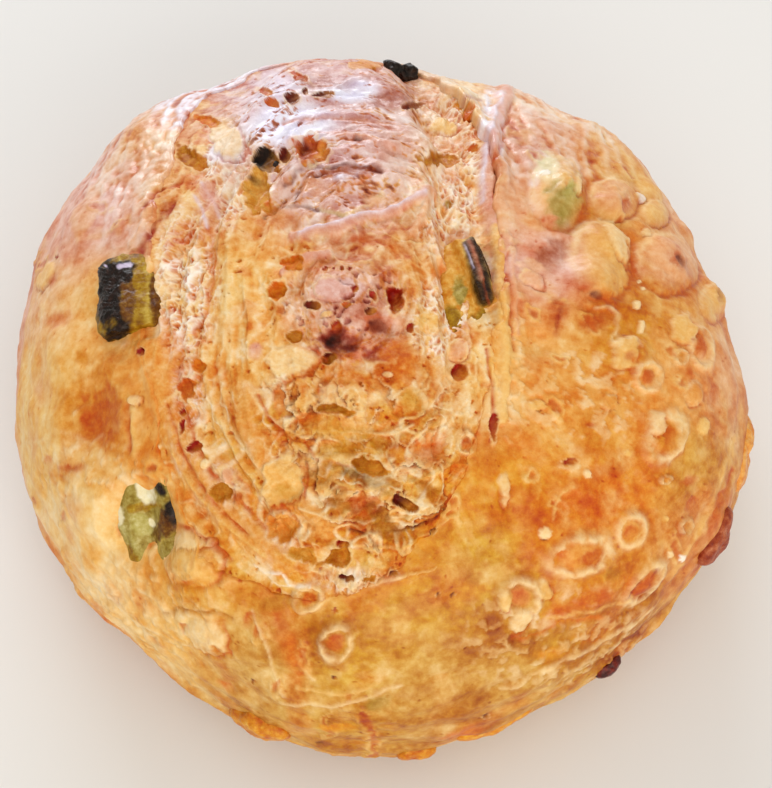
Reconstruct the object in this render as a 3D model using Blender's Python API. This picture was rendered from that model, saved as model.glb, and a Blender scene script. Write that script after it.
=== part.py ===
"""A round sourdough loaf with melted cheese and green pepper baked into its crust.

The script works in millimetres and writes its meshes in metres, +Z up. The origin is the
middle of the flat base, and the front of the loaf faces -Y. A place on the crust is an
azimuth, counter-clockwise from +X, and a tilt from straight up, both in degrees and seen
from the middle of the loaf's widest ring.
"""

import itertools
import math

import bmesh
import bpy
import numpy as np
from mathutils import Matrix, Vector

MM = 0.001

# The loaf
RADIUS = 109.2            # mean radius of the widest ring
HEIGHT = 104.0            # base to crown
WAIST = 32.0              # height of the widest ring
TUCK_DEPTH = 40.0         # how far the lower half would reach without its flat base
DOME_POWER = 2.2          # 2 is an ellipsoid, more is boxier
TUCK_POWER = 3.0
SHIFT = (-1.4, 1.9)       # puts the origin under the middle of the box round all pieces

# Swells of the widest ring: waves in the turn, height, azimuth of a crest
RING_SWELLS = ((2, 2.6, -42), (3, 1.5, 18), (5, 1.5, -22), (6, 1.2, -21), (7, 0.8, -4))

# The score, which bloomed into a torn opening round a flap of crust. Seen from above, each
# outline is a superellipse: middle X and Y, half width, half length, power.
OPENING = (-14.0, 5.0, 49.0, 91.0, 2.3)
FLAP = (-12.0, 10.0, 34.0, 85.0, 2.2)
OUTLINE_WOBBLE = 3.0      # how far a tear wanders off its outline
BAND_DEPTH = 4.5          # torn band below the crust round it
BAND_SLOPE = 5.0
FLAP_RISE = 1.5           # flap above the crust
FLAP_SLOPE = 9.0
LIP_HEIGHT = 1.3          # crust curled up along the tear
LIP_WIDTH = 4.0
LIP_BLEND = 6.0           # where the crust round the opening takes over from its lip
EAR_HEIGHT = 4.2          # the lip where it stands up as an ear, at the right rear
EAR_MIDDLE_Y = 48.0
EAR_REACH = 42.0
EAR_START_X = 25.0
KNOB = (-7.0, -12.0)      # middle of the swelling on the flap
KNOB_RADIUS = 13.0
KNOB_HEIGHT = 4.5
STRAND_HEIGHT = 1.9       # torn strands that circle the knob
STRAND_SPACING = 7.5
STRAND_STRETCH = 1.5      # the strands' rings are this much longer than wide
STRAND_WOBBLE = 4.0
STRAND_BREAKS = 1.4       # a higher number breaks each ring more often

# Swellings of the crust: azimuth, tilt, radius, height
SWELLINGS = (
    (-1, 43, 9.5, 2.8), (13, 48, 8.5, 2.6), (12, 61, 9.0, 2.6), (23, 52, 5.5, 1.5),
    (28, 45, 10.0, 2.8), (10, 75, 7.0, 1.8), (29, 68, 8.0, 1.5), (23, 77, 7.0, 1.6),
    (-5, 63, 8.0, 1.4), (-17, 52, 8.0, 1.4), (-27, 62, 7.0, 1.4), (-53, 65, 8.0, 1.3),
    (-43, 67, 5.0, 1.0), (-65, 66, 6.0, 1.0), (-44, 76, 7.0, 1.2), (-96, 67, 7.0, 1.0),
    (-115, 74, 8.0, 1.4), (-119, 65, 14.0, 3.2), (-143, 68, 13.0, 2.4), (-171, 63, 12.0, 1.8),
    (160, 64, 9.0, 1.4), (128, 73, 10.0, 1.6), (100, 80, 9.0, 1.4), (62, 75, 10.0, 2.0),
    (45, 63, 7.0, 1.4), (-85, 80, 11.0, 1.2), (-30, 82, 9.0, 1.6), (134, 67, 26.0, 4.2),
    (66, 65, 22.0, 1.7), (42, 67, 20.0, 1.3), (10, 78, 14.0, 1.2),
)

# Hollows of the crust and open bubbles of the crumb: azimuth, tilt, radius, depth
HOLLOWS = (
    (-156, 60, 12.0, 2.6), (-26, 37, 6.0, 1.8), (114, 33, 4.2, 4.0), (128, 35, 6.0, 5.0),
    (-64, 10, 3.6, 3.0), (-160, 18, 4.5, 2.4), (-53, 28, 4.0, 3.0), (142, 46, 5.0, 3.0),
    (-99, 56, 5.0, 3.0), (-105, 51, 4.5, 2.6), (96, 46, 4.5, 2.6), (66, 48, 4.5, 2.8),
    (-134, 65, 15.0, 5.0), (-74, 40, 4.5, 2.2),
)

FOLD_HEIGHT = 1.3         # creases that run round the flank
FOLD_SPACING = 9.0
FOLD_STRETCH = 4.0        # how much longer than their spacing they are
FOLD_FADE = (75.0, 45.0)  # the folds fade in from the first height down to the second
GRAIN_HEIGHT = 0.9        # uneven dough under the whole crust
GRAIN_SIZE = 22.0
FOOT_BLEND = (0.5, 9.0)   # the relief fades out between these heights, over the flat base

CRUST_CUTS = 99           # cuts along each edge of the cube that the loaf is blown up from
CRUST_KEPT = 0.056        # share of those faces that the relief needs
GAP = 0.4                 # between a piece and its pocket in the crust

# The pieces of pepper. X is across, Y along and Z out of the crust. Sizes are halves, with
# the power that makes the form rounder, at 2, or boxier. Bumps are height, size and seed.
CHUNK_SIZE = (9.2, 12.6, 5.2)     # a bent piece of pepper wall
CHUNK_POWER = 5.0
CHUNK_BEND = (0.03, 3.0)          # droop for each square of the distance from this X
CHUNK_TAPER = 0.012
CHUNK_BUMPS = (0.6, 7.0, 61)
SLICE_SIZE = (8.0, 16.5, 4.0)     # a flat slice, with the pepper's charred rim standing on it
SLICE_POWER = 2.6
SLICE_BUMPS = (0.35, 6.0, 62)
RIM_MIDDLE = (2.2, 4.5)
RIM_LEAN = 0.22
RIM_SIZE = (3.6, 11.0, 3.4)
RIM_EDGE = 1.4
GREEN_SIZE = (11.2, 15.2, 4.4)    # soft folded flesh, creased down its middle
GREEN_POWER = 3.0
GREEN_TAPER = 0.012
GREEN_LEAN = 0.42                 # slants the form, as Y for each X
GREEN_BUMPS = (0.9, 8.0, 63)
CREASE_DEPTH = 2.6
CREASE_WIDTH = 3.4
CREASE_LEAN = 0.3
CHAR_SIZE = (5.4, 3.2, 3.6)       # a jagged burnt scrap
CHAR_BUMPS = (1.9, 5.0, 64)
SEED_WALL_SIZE = (3.4, 2.6, 2.2)  # a small dark piece at the bottom of an open bubble
SEED_WALL_BUMPS = (0.6, 4.0, 65)
SCRAP_POWER = 3.0
CHEESE_POWER = 2.4
CHEESE_SWELL = 0.22               # bumps on a cheese lump, as a share of its half height
CHEESE_BUMP_SIZE = 9.0

CRUST_COLOUR = (0.72, 0.37, 0.12)
PEPPER_COLOUR = (0.25, 0.26, 0.05)
CHAR_COLOUR = (0.03, 0.015, 0.012)
CHEESE_COLOUR = (0.75, 0.27, 0.05)
CRUST_ROUGHNESS = 0.5
PIECE_ROUGHNESS = 0.35


# ---------------------------------------------------------------- noise and shaping

def gradient_noise(points, seed):
    """Smooth noise of about -1 to 1 at each point, with one lattice cell to a unit."""
    rng = np.random.default_rng(seed)
    order = rng.permutation(256)
    slopes = unit(rng.normal(size=(256, 3)))
    cell = np.floor(points).astype(int)
    local = points - cell
    fade = local ** 3 * (local * (local * 6 - 15) + 10)
    total = np.zeros(len(points))
    for corner in itertools.product((0, 1), repeat=3):
        spot = (cell + corner) & 255
        key = order[(order[(order[spot[:, 0]] + spot[:, 1]) & 255] + spot[:, 2]) & 255]
        weight = np.prod(np.where(corner, fade, 1 - fade), axis=1)
        total += weight * np.einsum("ij,ij->i", slopes[key], local - corner)
    return total * 1.6


def fractal(points, size, octaves, seed):
    """Noise of the given size in mm, with finer and fainter noise on it."""
    return sum(
        gradient_noise(points * 2 ** k / size, seed + k) / 2 ** k for k in range(octaves)
    )


def smooth_step(value, low, high):
    t = np.clip((value - low) / (high - low), 0, 1)
    return t * t * (3 - 2 * t)


def dome(distance, radius):
    """1 at the middle and 0 from the radius out, with a rounded foot."""
    return np.clip(1 - (distance / radius) ** 2, 0, 1) ** 1.5


def unit(vectors):
    return vectors / np.linalg.norm(vectors, axis=-1, keepdims=True)


# ---------------------------------------------------------------- the loaf's form

def towards(azimuth, tilt):
    """Unit direction of a place on the crust."""
    a, t = np.radians(azimuth), np.radians(tilt)
    return np.array([np.cos(a) * np.sin(t), np.sin(a) * np.sin(t), np.cos(t)])


def smooth_loaf(directions):
    """Points of the loaf without relief, along directions from the middle of its waist."""
    azimuth = np.arctan2(directions[:, 1], directions[:, 0])
    ring = RADIUS + sum(
        swell * np.cos(waves * (azimuth - math.radians(crest)))
        for waves, swell, crest in RING_SWELLS
    )
    across = np.hypot(directions[:, 0], directions[:, 1]) / ring
    rise = np.abs(directions[:, 2])
    above = (across ** DOME_POWER + (rise / (HEIGHT - WAIST)) ** DOME_POWER) ** (-1 / DOME_POWER)
    below = (across ** TUCK_POWER + (rise / TUCK_DEPTH) ** TUCK_POWER) ** (-1 / TUCK_POWER)
    below = np.minimum(below, WAIST / np.maximum(rise, 1e-6))
    reach = np.where(directions[:, 2] > 0, above, below)
    return directions * reach[:, None] + (0, 0, WAIST)


def outline_distance(x, y, outline):
    """Millimetres outside a superellipse seen from above, negative inside it."""
    middle_x, middle_y, half_width, half_length, power = outline
    across = np.abs(x - middle_x) / half_width
    along = np.abs(y - middle_y) / half_length
    level = np.maximum((across ** power + along ** power) ** (1 / power), 1e-6)
    slope = np.hypot(
        (across / level) ** (power - 1) / half_width, (along / level) ** (power - 1) / half_length
    )
    return (level - 1) / np.maximum(slope, 1 / half_length)


def strands(points):
    """Ridges of -1 to 1 that circle the knob, as torn dough does."""
    x, y = points[:, 0] - KNOB[0], (points[:, 1] - KNOB[1]) / STRAND_STRETCH
    ring = np.hypot(x, y) + STRAND_WOBBLE * fractal(points, 30, 2, 11)
    turn = np.arctan2(y, x)
    wound = np.stack(
        [ring / STRAND_SPACING, STRAND_BREAKS * np.cos(turn), STRAND_BREAKS * np.sin(turn)], axis=1
    )
    return 1 - np.abs(gradient_noise(wound, 12)) * 2


def opening_relief(points, rim):
    """Height of the torn band, the flap in it, its strands and the lip round it."""
    x, y = points[:, 0], points[:, 1]
    flap = outline_distance(x, y, FLAP) + OUTLINE_WOBBLE * fractal(points, 24, 2, 21)
    inside = smooth_step(-rim, 0, BAND_SLOPE)
    height = -BAND_DEPTH * inside
    height += (BAND_DEPTH + FLAP_RISE) * inside * smooth_step(-flap, 0, FLAP_SLOPE)
    height += STRAND_HEIGHT * inside * strands(points)
    height += KNOB_HEIGHT * dome(np.hypot(x - KNOB[0], y - KNOB[1]), KNOB_RADIUS)
    ear = smooth_step(x, 0, EAR_START_X) * dome(y - EAR_MIDDLE_Y, EAR_REACH)
    lip = LIP_HEIGHT + (EAR_HEIGHT - LIP_HEIGHT) * ear
    return height + lip * np.exp(-((rim / LIP_WIDTH) ** 2))


def distance_from(azimuth, tilt, points):
    middle = smooth_loaf(towards(azimuth, tilt)[None])[0]
    return np.linalg.norm(points - middle, axis=1)


def relief(points):
    """Height in mm added to the smooth loaf at each of its points."""
    rim = outline_distance(points[:, 0], points[:, 1], OPENING)
    rim += OUTLINE_WOBBLE * fractal(points, 28, 2, 31)
    height = opening_relief(points, rim)
    height += GRAIN_HEIGHT * fractal(points, GRAIN_SIZE, 3, 41)
    flank = smooth_step(-points[:, 2], *(-level for level in FOLD_FADE))
    stretched = points / (FOLD_STRETCH, FOLD_STRETCH, 1)
    folds = flank * smooth_step(rim, 0, LIP_BLEND) * fractal(stretched, FOLD_SPACING, 2, 51)
    height += FOLD_HEIGHT * folds
    for azimuth, tilt, radius, swell in SWELLINGS:
        height += swell * dome(distance_from(azimuth, tilt, points), radius)
    for azimuth, tilt, radius, depth in HOLLOWS:
        height -= depth * dome(distance_from(azimuth, tilt, points), radius)
    return height * smooth_step(points[:, 2], *FOOT_BLEND)


def crust_points(directions):
    base = smooth_loaf(directions)
    grown = base + directions * relief(base)[:, None]
    grown[:, 2] = np.maximum(grown[:, 2], 0)
    return grown + (*SHIFT, 0)


# ---------------------------------------------------------------- the pieces in the crust

def superellipsoid(directions, half_size, power):
    """Points of a superellipsoid along unit directions."""
    level = sum((np.abs(d) / half) ** power for d, half in zip(directions.T, half_size))
    return directions * (level ** (-1 / power))[:, None]


def bumpy(points, directions, bumps):
    """The points moved out and in by noise."""
    height, size, seed = bumps
    return points + directions * height * fractal(points + seed, size, 2, seed)[:, None]


def pepper_chunk(directions):
    points = superellipsoid(directions, CHUNK_SIZE, CHUNK_POWER)
    droop, straight_x = CHUNK_BEND
    points[:, 2] -= droop * (points[:, 0] - straight_x) ** 2
    points[:, 0] *= 1 + CHUNK_TAPER * points[:, 1]
    return bumpy(points, directions, CHUNK_BUMPS)


def pepper_slice(directions):
    points = superellipsoid(directions, SLICE_SIZE, SLICE_POWER)
    along = points[:, 1] - RIM_MIDDLE[1]
    across = points[:, 0] - RIM_MIDDLE[0] + RIM_LEAN * along
    half_width, half_length, height = RIM_SIZE
    rim = smooth_step(half_width - np.abs(across), 0, RIM_EDGE)
    rim *= smooth_step(half_length - np.abs(along), 0, RIM_EDGE)
    points[:, 2] += height * rim * (directions[:, 2] > 0)
    return bumpy(points, directions, SLICE_BUMPS)


def pepper_green(directions):
    points = superellipsoid(directions, GREEN_SIZE, GREEN_POWER)
    points[:, 0] *= 1 + GREEN_TAPER * points[:, 1]
    points[:, 1] += GREEN_LEAN * points[:, 0]
    off_crease = points[:, 0] - CREASE_LEAN * points[:, 1]
    crease = np.exp(-((off_crease / CREASE_WIDTH) ** 2))
    points[:, 2] -= CREASE_DEPTH * crease * (directions[:, 2] > 0)
    return bumpy(points, directions, GREEN_BUMPS)


def pepper_char(directions):
    points = superellipsoid(directions, CHAR_SIZE, SCRAP_POWER)
    return bumpy(points, directions, CHAR_BUMPS)


def pepper_seed_wall(directions):
    points = superellipsoid(directions, SEED_WALL_SIZE, SCRAP_POWER)
    return bumpy(points, directions, SEED_WALL_BUMPS)


def cheese_lump(half_length, half_height, half_depth, seed):
    """The shape of a lump of melted cheese, as a function of unit directions."""

    def shape(directions):
        points = superellipsoid(directions, (half_length, half_height, half_depth), CHEESE_POWER)
        return bumpy(points, directions, (CHEESE_SWELL * half_height, CHEESE_BUMP_SIZE, seed))

    return shape


# Name, shape, cuts, azimuth, tilt, depth of its middle under the crust, roll
PEPPERS = (
    ("pepper_chunk", pepper_chunk, 5, -178, 49.0, 0.5, -84),
    ("pepper_slice", pepper_slice, 7, -14, 21.5, 0.8, -70),
    ("pepper_green", pepper_green, 6, -134, 65, 0.2, 52),
)
SCRAPS = (
    ("pepper_char", pepper_char, 4, 85, 62.0, -2.2, 0),
    ("pepper_seed_wall", pepper_seed_wall, 3, 126, 34.0, 0.4, 30),
)
CHEESES = (
    ("cheese_front_left", cheese_lump(9.5, 6.0, 4.5, 71), 4, -107, 92, 1.2, 8),
    ("cheese_front", cheese_lump(6.0, 3.6, 3.2, 72), 3, -84, 95, 0.8, -6),
    ("cheese_front_right", cheese_lump(12.5, 4.5, 3.4, 73), 4, -71.5, 94, 1.4, 0),
    ("cheese_right_low", cheese_lump(4.8, 3.4, 3.2, 74), 3, -52, 94, 0.8, 12),
    ("cheese_right_fold", cheese_lump(9.0, 5.0, 4.0, 75), 3, -29, 84, 1.6, 20),
    ("cheese_right", cheese_lump(13.0, 6.5, 4.5, 76), 4, -14, 84, 2.4, 6),
)


# ---------------------------------------------------------------- Blender objects

def clear_scene():
    for old in list(bpy.data.objects):
        bpy.data.objects.remove(old)


def make_material(name, colour, roughness):
    material = bpy.data.materials.new(name)
    material.use_nodes = True
    shader = material.node_tree.nodes["Principled BSDF"]
    shader.inputs["Base Color"].default_value = (*colour, 1)
    shader.inputs["Roughness"].default_value = roughness
    shader.inputs["Metallic"].default_value = 0
    return material


def blown_cube(name, cuts, shape):
    """A mesh object whose points are shape(unit directions), from a cube cut into a grid."""
    grid = bmesh.new()
    bmesh.ops.create_cube(grid, size=2)
    bmesh.ops.subdivide_edges(grid, edges=grid.edges, cuts=cuts, use_grid_fill=True)
    corners = np.array([v.co for v in grid.verts])
    directions = unit(np.tan(corners * math.pi / 4))
    for vertex, point in zip(grid.verts, shape(directions) * MM):
        vertex.co = point
    bmesh.ops.triangulate(grid, faces=grid.faces)      # bent quads would spoil the pockets
    mesh = bpy.data.meshes.new(name)
    grid.to_mesh(mesh)
    grid.free()
    made = bpy.data.objects.new(name, mesh)
    bpy.context.scene.collection.objects.link(made)
    return made


def shade(made, material, sharp_from=40):
    made.data.materials.append(material)
    made.data.shade_smooth()
    made.data.set_sharp_from_angle(angle=math.radians(sharp_from))


def crust_frame(azimuth, tilt, sink, roll):
    """Matrix, in mm, at a depth under the crust: +Z out of it, +Y up the slope, then rolled."""
    step = 1.5
    near = [(azimuth, tilt), (azimuth + step, tilt), (azimuth, tilt - step)]
    here, beside, uphill = smooth_loaf(np.array([towards(*place) for place in near]))
    out = unit(np.cross(beside - here, uphill - here))
    up = unit(uphill - here - out * np.dot(uphill - here, out))
    top = crust_points(towards(azimuth, tilt)[None])[0]
    axes = Matrix(np.stack([np.cross(up, out), up, out], axis=1).tolist()).to_4x4()
    placed = Matrix.Translation(Vector(top - out * sink)) @ axes
    return placed @ Matrix.Rotation(math.radians(roll), 4, "Z")


def cut_pocket(piece, cutters):
    """A copy of the piece, grown by the gap, that cuts its pocket in the crust."""
    cutter = piece.copy()
    cutter.data = piece.data.copy()
    cutter.name = piece.name + "_pocket"
    normals = [vertex.normal.copy() for vertex in cutter.data.vertices]
    for vertex, normal in zip(cutter.data.vertices, normals):
        vertex.co += normal * GAP * MM
    cutter.hide_render = True
    cutter.display_type = "WIRE"
    cutters.objects.link(cutter)


def build_crust():
    loaf = blown_cube("loaf", CRUST_CUTS, crust_points)
    thin = loaf.modifiers.new("fewer faces", "DECIMATE")
    thin.ratio = CRUST_KEPT
    shade(loaf, make_material("crust", CRUST_COLOUR, CRUST_ROUGHNESS))
    return loaf


def build_pieces(rows, colour, cutters):
    for name, shape, cuts, azimuth, tilt, sink, roll in rows:
        piece = blown_cube(name, cuts, shape)
        placed = crust_frame(azimuth, tilt, sink, roll)
        piece.location = placed.translation * MM
        piece.rotation_euler = placed.to_euler()
        shade(piece, make_material(name, colour, PIECE_ROUGHNESS))
        cut_pocket(piece, cutters)


def main():
    clear_scene()
    loaf = build_crust()
    cutters = bpy.data.collections.new("pockets")
    cutters.hide_render = True
    bpy.context.scene.collection.children.link(cutters)
    build_pieces(PEPPERS, PEPPER_COLOUR, cutters)
    build_pieces(SCRAPS, CHAR_COLOUR, cutters)
    build_pieces(CHEESES, CHEESE_COLOUR, cutters)
    pockets = loaf.modifiers.new("pockets", "BOOLEAN")
    pockets.operation = "DIFFERENCE"
    pockets.operand_type = "COLLECTION"
    pockets.collection = cutters


main()
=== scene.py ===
"""Looks of the round sourdough loaf: crust, torn crumb, pepper and browned cheese.

Lengths are in millimetres until a mesh is made, +Z up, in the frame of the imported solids. A
place on the crust is an azimuth, counter-clockwise from +X, and a tilt from straight up, both
in degrees and seen from the middle of the loaf's widest ring. What the camera sees of the
surface is placed in the picture, in pixels from its top left corner. The form repeats the
solids' own sizes and functions, with finer relief on it.
"""

import collections
import itertools
import math

import bmesh
import bpy
import numpy as np
from mathutils import Matrix, Vector


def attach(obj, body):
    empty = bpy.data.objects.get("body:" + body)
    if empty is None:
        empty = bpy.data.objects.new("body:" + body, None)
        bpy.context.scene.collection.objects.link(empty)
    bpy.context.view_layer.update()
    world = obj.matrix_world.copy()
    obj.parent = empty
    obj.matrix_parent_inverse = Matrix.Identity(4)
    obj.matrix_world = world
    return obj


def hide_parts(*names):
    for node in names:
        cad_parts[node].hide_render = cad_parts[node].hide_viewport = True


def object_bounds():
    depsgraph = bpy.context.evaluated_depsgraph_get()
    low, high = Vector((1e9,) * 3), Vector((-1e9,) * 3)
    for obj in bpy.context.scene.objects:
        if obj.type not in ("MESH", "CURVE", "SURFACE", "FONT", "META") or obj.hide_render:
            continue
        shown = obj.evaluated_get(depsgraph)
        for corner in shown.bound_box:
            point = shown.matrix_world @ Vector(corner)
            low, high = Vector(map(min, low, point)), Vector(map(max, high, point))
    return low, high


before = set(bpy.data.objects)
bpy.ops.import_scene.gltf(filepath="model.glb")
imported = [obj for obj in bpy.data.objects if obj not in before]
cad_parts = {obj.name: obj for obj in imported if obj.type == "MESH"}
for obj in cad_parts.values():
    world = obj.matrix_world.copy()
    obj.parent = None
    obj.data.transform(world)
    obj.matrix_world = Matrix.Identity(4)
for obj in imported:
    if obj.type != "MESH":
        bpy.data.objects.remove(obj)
CAD_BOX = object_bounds()
MM = 0.001

# ---------------------------------------------------------------- sizes shared with the solids

RADIUS = 109.2
HEIGHT = 104.0
WAIST = 32.0
TUCK_DEPTH = 40.0
DOME_POWER = 2.2
TUCK_POWER = 3.0
SHIFT = (-1.4, 1.9)
RING_SWELLS = ((2, 2.6, -42), (3, 1.5, 18), (5, 1.5, -22), (6, 1.2, -21), (7, 0.8, -4))
OPENING = (-14.0, 5.0, 49.0, 91.0, 2.3)
FLAP = (-12.0, 10.0, 34.0, 85.0, 2.2)
OUTLINE_WOBBLE = 3.0
BAND_DEPTH = 4.5
BAND_SLOPE = 5.0
FLAP_RISE = 1.5
FLAP_SLOPE = 9.0
LIP_HEIGHT = 1.3
LIP_WIDTH = 4.0
LIP_BLEND = 6.0
EAR_HEIGHT = 4.2
EAR_MIDDLE_Y = 48.0
EAR_REACH = 42.0
EAR_START_X = 25.0
KNOB = (-7.0, -12.0)
KNOB_RADIUS = 13.0
KNOB_HEIGHT = 4.5
STRAND_HEIGHT = 1.9
STRAND_SPACING = 7.5
STRAND_STRETCH = 1.5
STRAND_WOBBLE = 4.0
STRAND_BREAKS = 1.4
SWELLINGS = (
    (-1, 43, 9.5, 2.8), (13, 48, 8.5, 2.6), (12, 61, 9.0, 2.6), (23, 52, 5.5, 1.5),
    (28, 45, 10.0, 2.8), (10, 75, 7.0, 1.8), (29, 68, 8.0, 1.5), (23, 77, 7.0, 1.6),
    (-5, 63, 8.0, 1.4), (-17, 52, 8.0, 1.4), (-27, 62, 7.0, 1.4), (-53, 65, 8.0, 1.3),
    (-43, 67, 5.0, 1.0), (-65, 66, 6.0, 1.0), (-44, 76, 7.0, 1.2), (-96, 67, 7.0, 1.0),
    (-115, 74, 8.0, 1.4), (-119, 65, 14.0, 3.2), (-143, 68, 13.0, 2.4), (-171, 63, 12.0, 1.8),
    (160, 64, 9.0, 1.4), (128, 73, 10.0, 1.6), (100, 80, 9.0, 1.4), (62, 75, 10.0, 2.0),
    (45, 63, 7.0, 1.4), (-85, 80, 11.0, 1.2), (-30, 82, 9.0, 1.6), (134, 67, 26.0, 4.2),
    (66, 65, 22.0, 1.7), (42, 67, 20.0, 1.3), (10, 78, 14.0, 1.2),
)
HOLLOWS = (
    (-156, 60, 12.0, 2.6), (-26, 37, 6.0, 1.8), (114, 33, 4.2, 4.0), (128, 35, 6.0, 5.0),
    (-64, 10, 3.6, 3.0), (-160, 18, 4.5, 2.4), (-53, 28, 4.0, 3.0), (142, 46, 5.0, 3.0),
    (-99, 56, 5.0, 3.0), (-105, 51, 4.5, 2.6), (96, 46, 4.5, 2.6), (66, 48, 4.5, 2.8),
    (-134, 65, 15.0, 5.0), (-74, 40, 4.5, 2.2),
)
FOLD_HEIGHT = 1.3
FOLD_SPACING = 9.0
FOLD_STRETCH = 4.0
FOLD_FADE = (75.0, 45.0)
GRAIN_HEIGHT = 0.9
GRAIN_SIZE = 22.0
FOOT_BLEND = (0.5, 9.0)

CHUNK_SIZE = (9.2, 12.6, 5.2)
CHUNK_POWER = 5.0
CHUNK_BEND = (0.03, 3.0)
CHUNK_TAPER = 0.012
CHUNK_BUMPS = (0.6, 7.0, 61)
SLICE_SIZE = (8.0, 16.5, 4.0)
SLICE_POWER = 2.6
SLICE_BUMPS = (0.35, 6.0, 62)
RIM_MIDDLE = (2.2, 4.5)
RIM_LEAN = 0.22
RIM_SIZE = (3.6, 11.0, 3.4)
RIM_EDGE = 1.4
GREEN_SIZE = (11.2, 15.2, 4.4)
GREEN_POWER = 3.0
GREEN_TAPER = 0.012
GREEN_LEAN = 0.42
GREEN_BUMPS = (0.9, 8.0, 63)
CREASE_DEPTH = 2.6
CREASE_WIDTH = 3.4
CREASE_LEAN = 0.3
CHAR_SIZE = (5.4, 3.2, 3.6)
CHAR_BUMPS = (1.9, 5.0, 64)
SEED_WALL_SIZE = (3.4, 2.6, 2.2)
SEED_WALL_BUMPS = (0.6, 4.0, 65)
SCRAP_POWER = 3.0
CHEESE_POWER = 2.4
CHEESE_SWELL = 0.22
CHEESE_BUMP_SIZE = 9.0

# ---------------------------------------------------------------- the picture

# The camera, and the size in pixels of the picture that it takes
CAMERA_ELEVATION = 62.0
CAMERA_DISTANCE = 0.5
CAMERA_TARGET = (0.00196, -0.00687, 0.045)
CAMERA_LENS = 76.9
CAMERA_SENSOR = 36
CAMERA_CLIP = 0.01
PICTURE_WIDTH, PICTURE_HEIGHT = 772, 788

# ---------------------------------------------------------------- colours, as the eye sees them

PALETTE = {
    "white": (252, 240, 222), "cream": (246, 212, 156), "straw": (240, 192, 116),
    "peach": (234, 178, 136), "rose": (224, 166, 146), "tan": (228, 156, 80),
    "honey": (216, 156, 74), "gold": (222, 146, 54), "amber": (210, 132, 54),
    "orange": (214, 116, 44), "rust": (196, 92, 34), "bronze": (196, 134, 50),
    "wheat": (200, 146, 74), "toast": (184, 116, 48), "clay": (208, 132, 80),
    "mauve": (200, 126, 98), "plum": (162, 84, 60), "red": (156, 46, 20), "umber": (104, 42, 18),
    "char": (54, 25, 17), "olive": (160, 122, 46), "leaf": (204, 174, 84), "moss": (164, 142, 76),
    "sage": (190, 176, 106), "bark": (112, 76, 26), "curd": (238, 226, 184),
    # The last two colours stand in for painted highlights and painted reflections of the window.
    "lilac": (206, 192, 214), "glare": (236, 230, 244),
}

# Colours round places that the camera sees, each at its x and y in the picture
ZONES = {
    "mauve": ((200, 110), (530, 150), (230, 80), (250, 110), (300, 110), (350, 90), (220, 200),
        (350, 190), (340, 290)),
    "clay": ((150, 150), (690, 560), (720, 510), (740, 430), (400, 110), (350, 140), (300, 170),
        (350, 240), (400, 240), (380, 310)),
    "rose": ((110, 200), (60, 240), (540, 270)),
    "peach": ((40, 300), (735, 370), (690, 230), (550, 115), (520, 200), (190, 140), (470, 170),
        (300, 230)),
    "straw": ((80, 300), (50, 370), (30, 440), (60, 470), (90, 540), (150, 620), (200, 640), (650, 180),
        (180, 200), (260, 250), (230, 300), (440, 330), (490, 380), (290, 370), (300, 470)),
    "tan": ((110, 350), (150, 370), (720, 300), (600, 140), (660, 220), (700, 380), (650, 420),
        (530, 330), (560, 380), (540, 430), (160, 480), (250, 200), (400, 180), (190, 350), (230, 370),
        (270, 330), (300, 290), (420, 290), (420, 380), (330, 380), (210, 410), (185, 440), (440, 430),
        (240, 520), (330, 575)),
    "amber": ((110, 430), (600, 560), (660, 550), (600, 200), (650, 300), (600, 340), (600, 450),
        (530, 530), (250, 410), (400, 430), (470, 450), (350, 470)),
    "cream": ((50, 540), (110, 600), (230, 150), (440, 130), (440, 210), (185, 300), (460, 400)),
    "gold": ((190, 560), (290, 560), (520, 470), (300, 430), (350, 430), (460, 490), (260, 490),
        (290, 520), (420, 560)),
    "honey": ((180, 600), (240, 590), (220, 460), (260, 440), (430, 520), (400, 470)),
    "wheat": ((240, 660), (290, 700), (400, 700), (440, 670), (520, 680)),
    # Bronze, and toast low at the front, are deeper colours that partly stand in for painted shade on the
    # front flank.
    "bronze": ((330, 610), (330, 680), (350, 730), (380, 640), (430, 600), (490, 560), (560, 640),
        (700, 470), (480, 580)),
    "toast": ((450, 730), (500, 620), (620, 630), (650, 600), (340, 520), (380, 540)),
    "orange": ((560, 520), (620, 480), (380, 380)),
}
ZONE_PIXELS, ZONE_WANDER = 26.0, 9.0      # reach of a zone, and how far its edge wanders
# Colours of the crust where the camera doesn't see it, each at its azimuth and tilt
HIDDEN_ZONES = {
    "peach": ((-170, 78), (34, 78), (60, 88), (100, 88), (140, 90)),
    "rose": ((165, 78), (145, 76), (122, 74), (100, 72), (78, 74), (56, 76), (120, 60)),
    "tan": ((12, 84), (60, 104), (130, 96), (165, 98), (20, 98), (-150, 100)),
    "clay": ((95, 104),),
    "honey": ((-20, 99), (-60, 100), (-100, 100), (0, 115), (180, 115)),
    "toast": ((90, 112), (-90, 118), (0, 180)),
    "mauve": ((100, 60), (75, 60)),
}
ZONE_SIZE = 24.0        # reach of a hidden zone in mm
LEAST_WEIGHT = 1e-6
ZONE_NOISE = (11, 3, 301)       # size in mm, octaves and seed, as for every noise below

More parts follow.
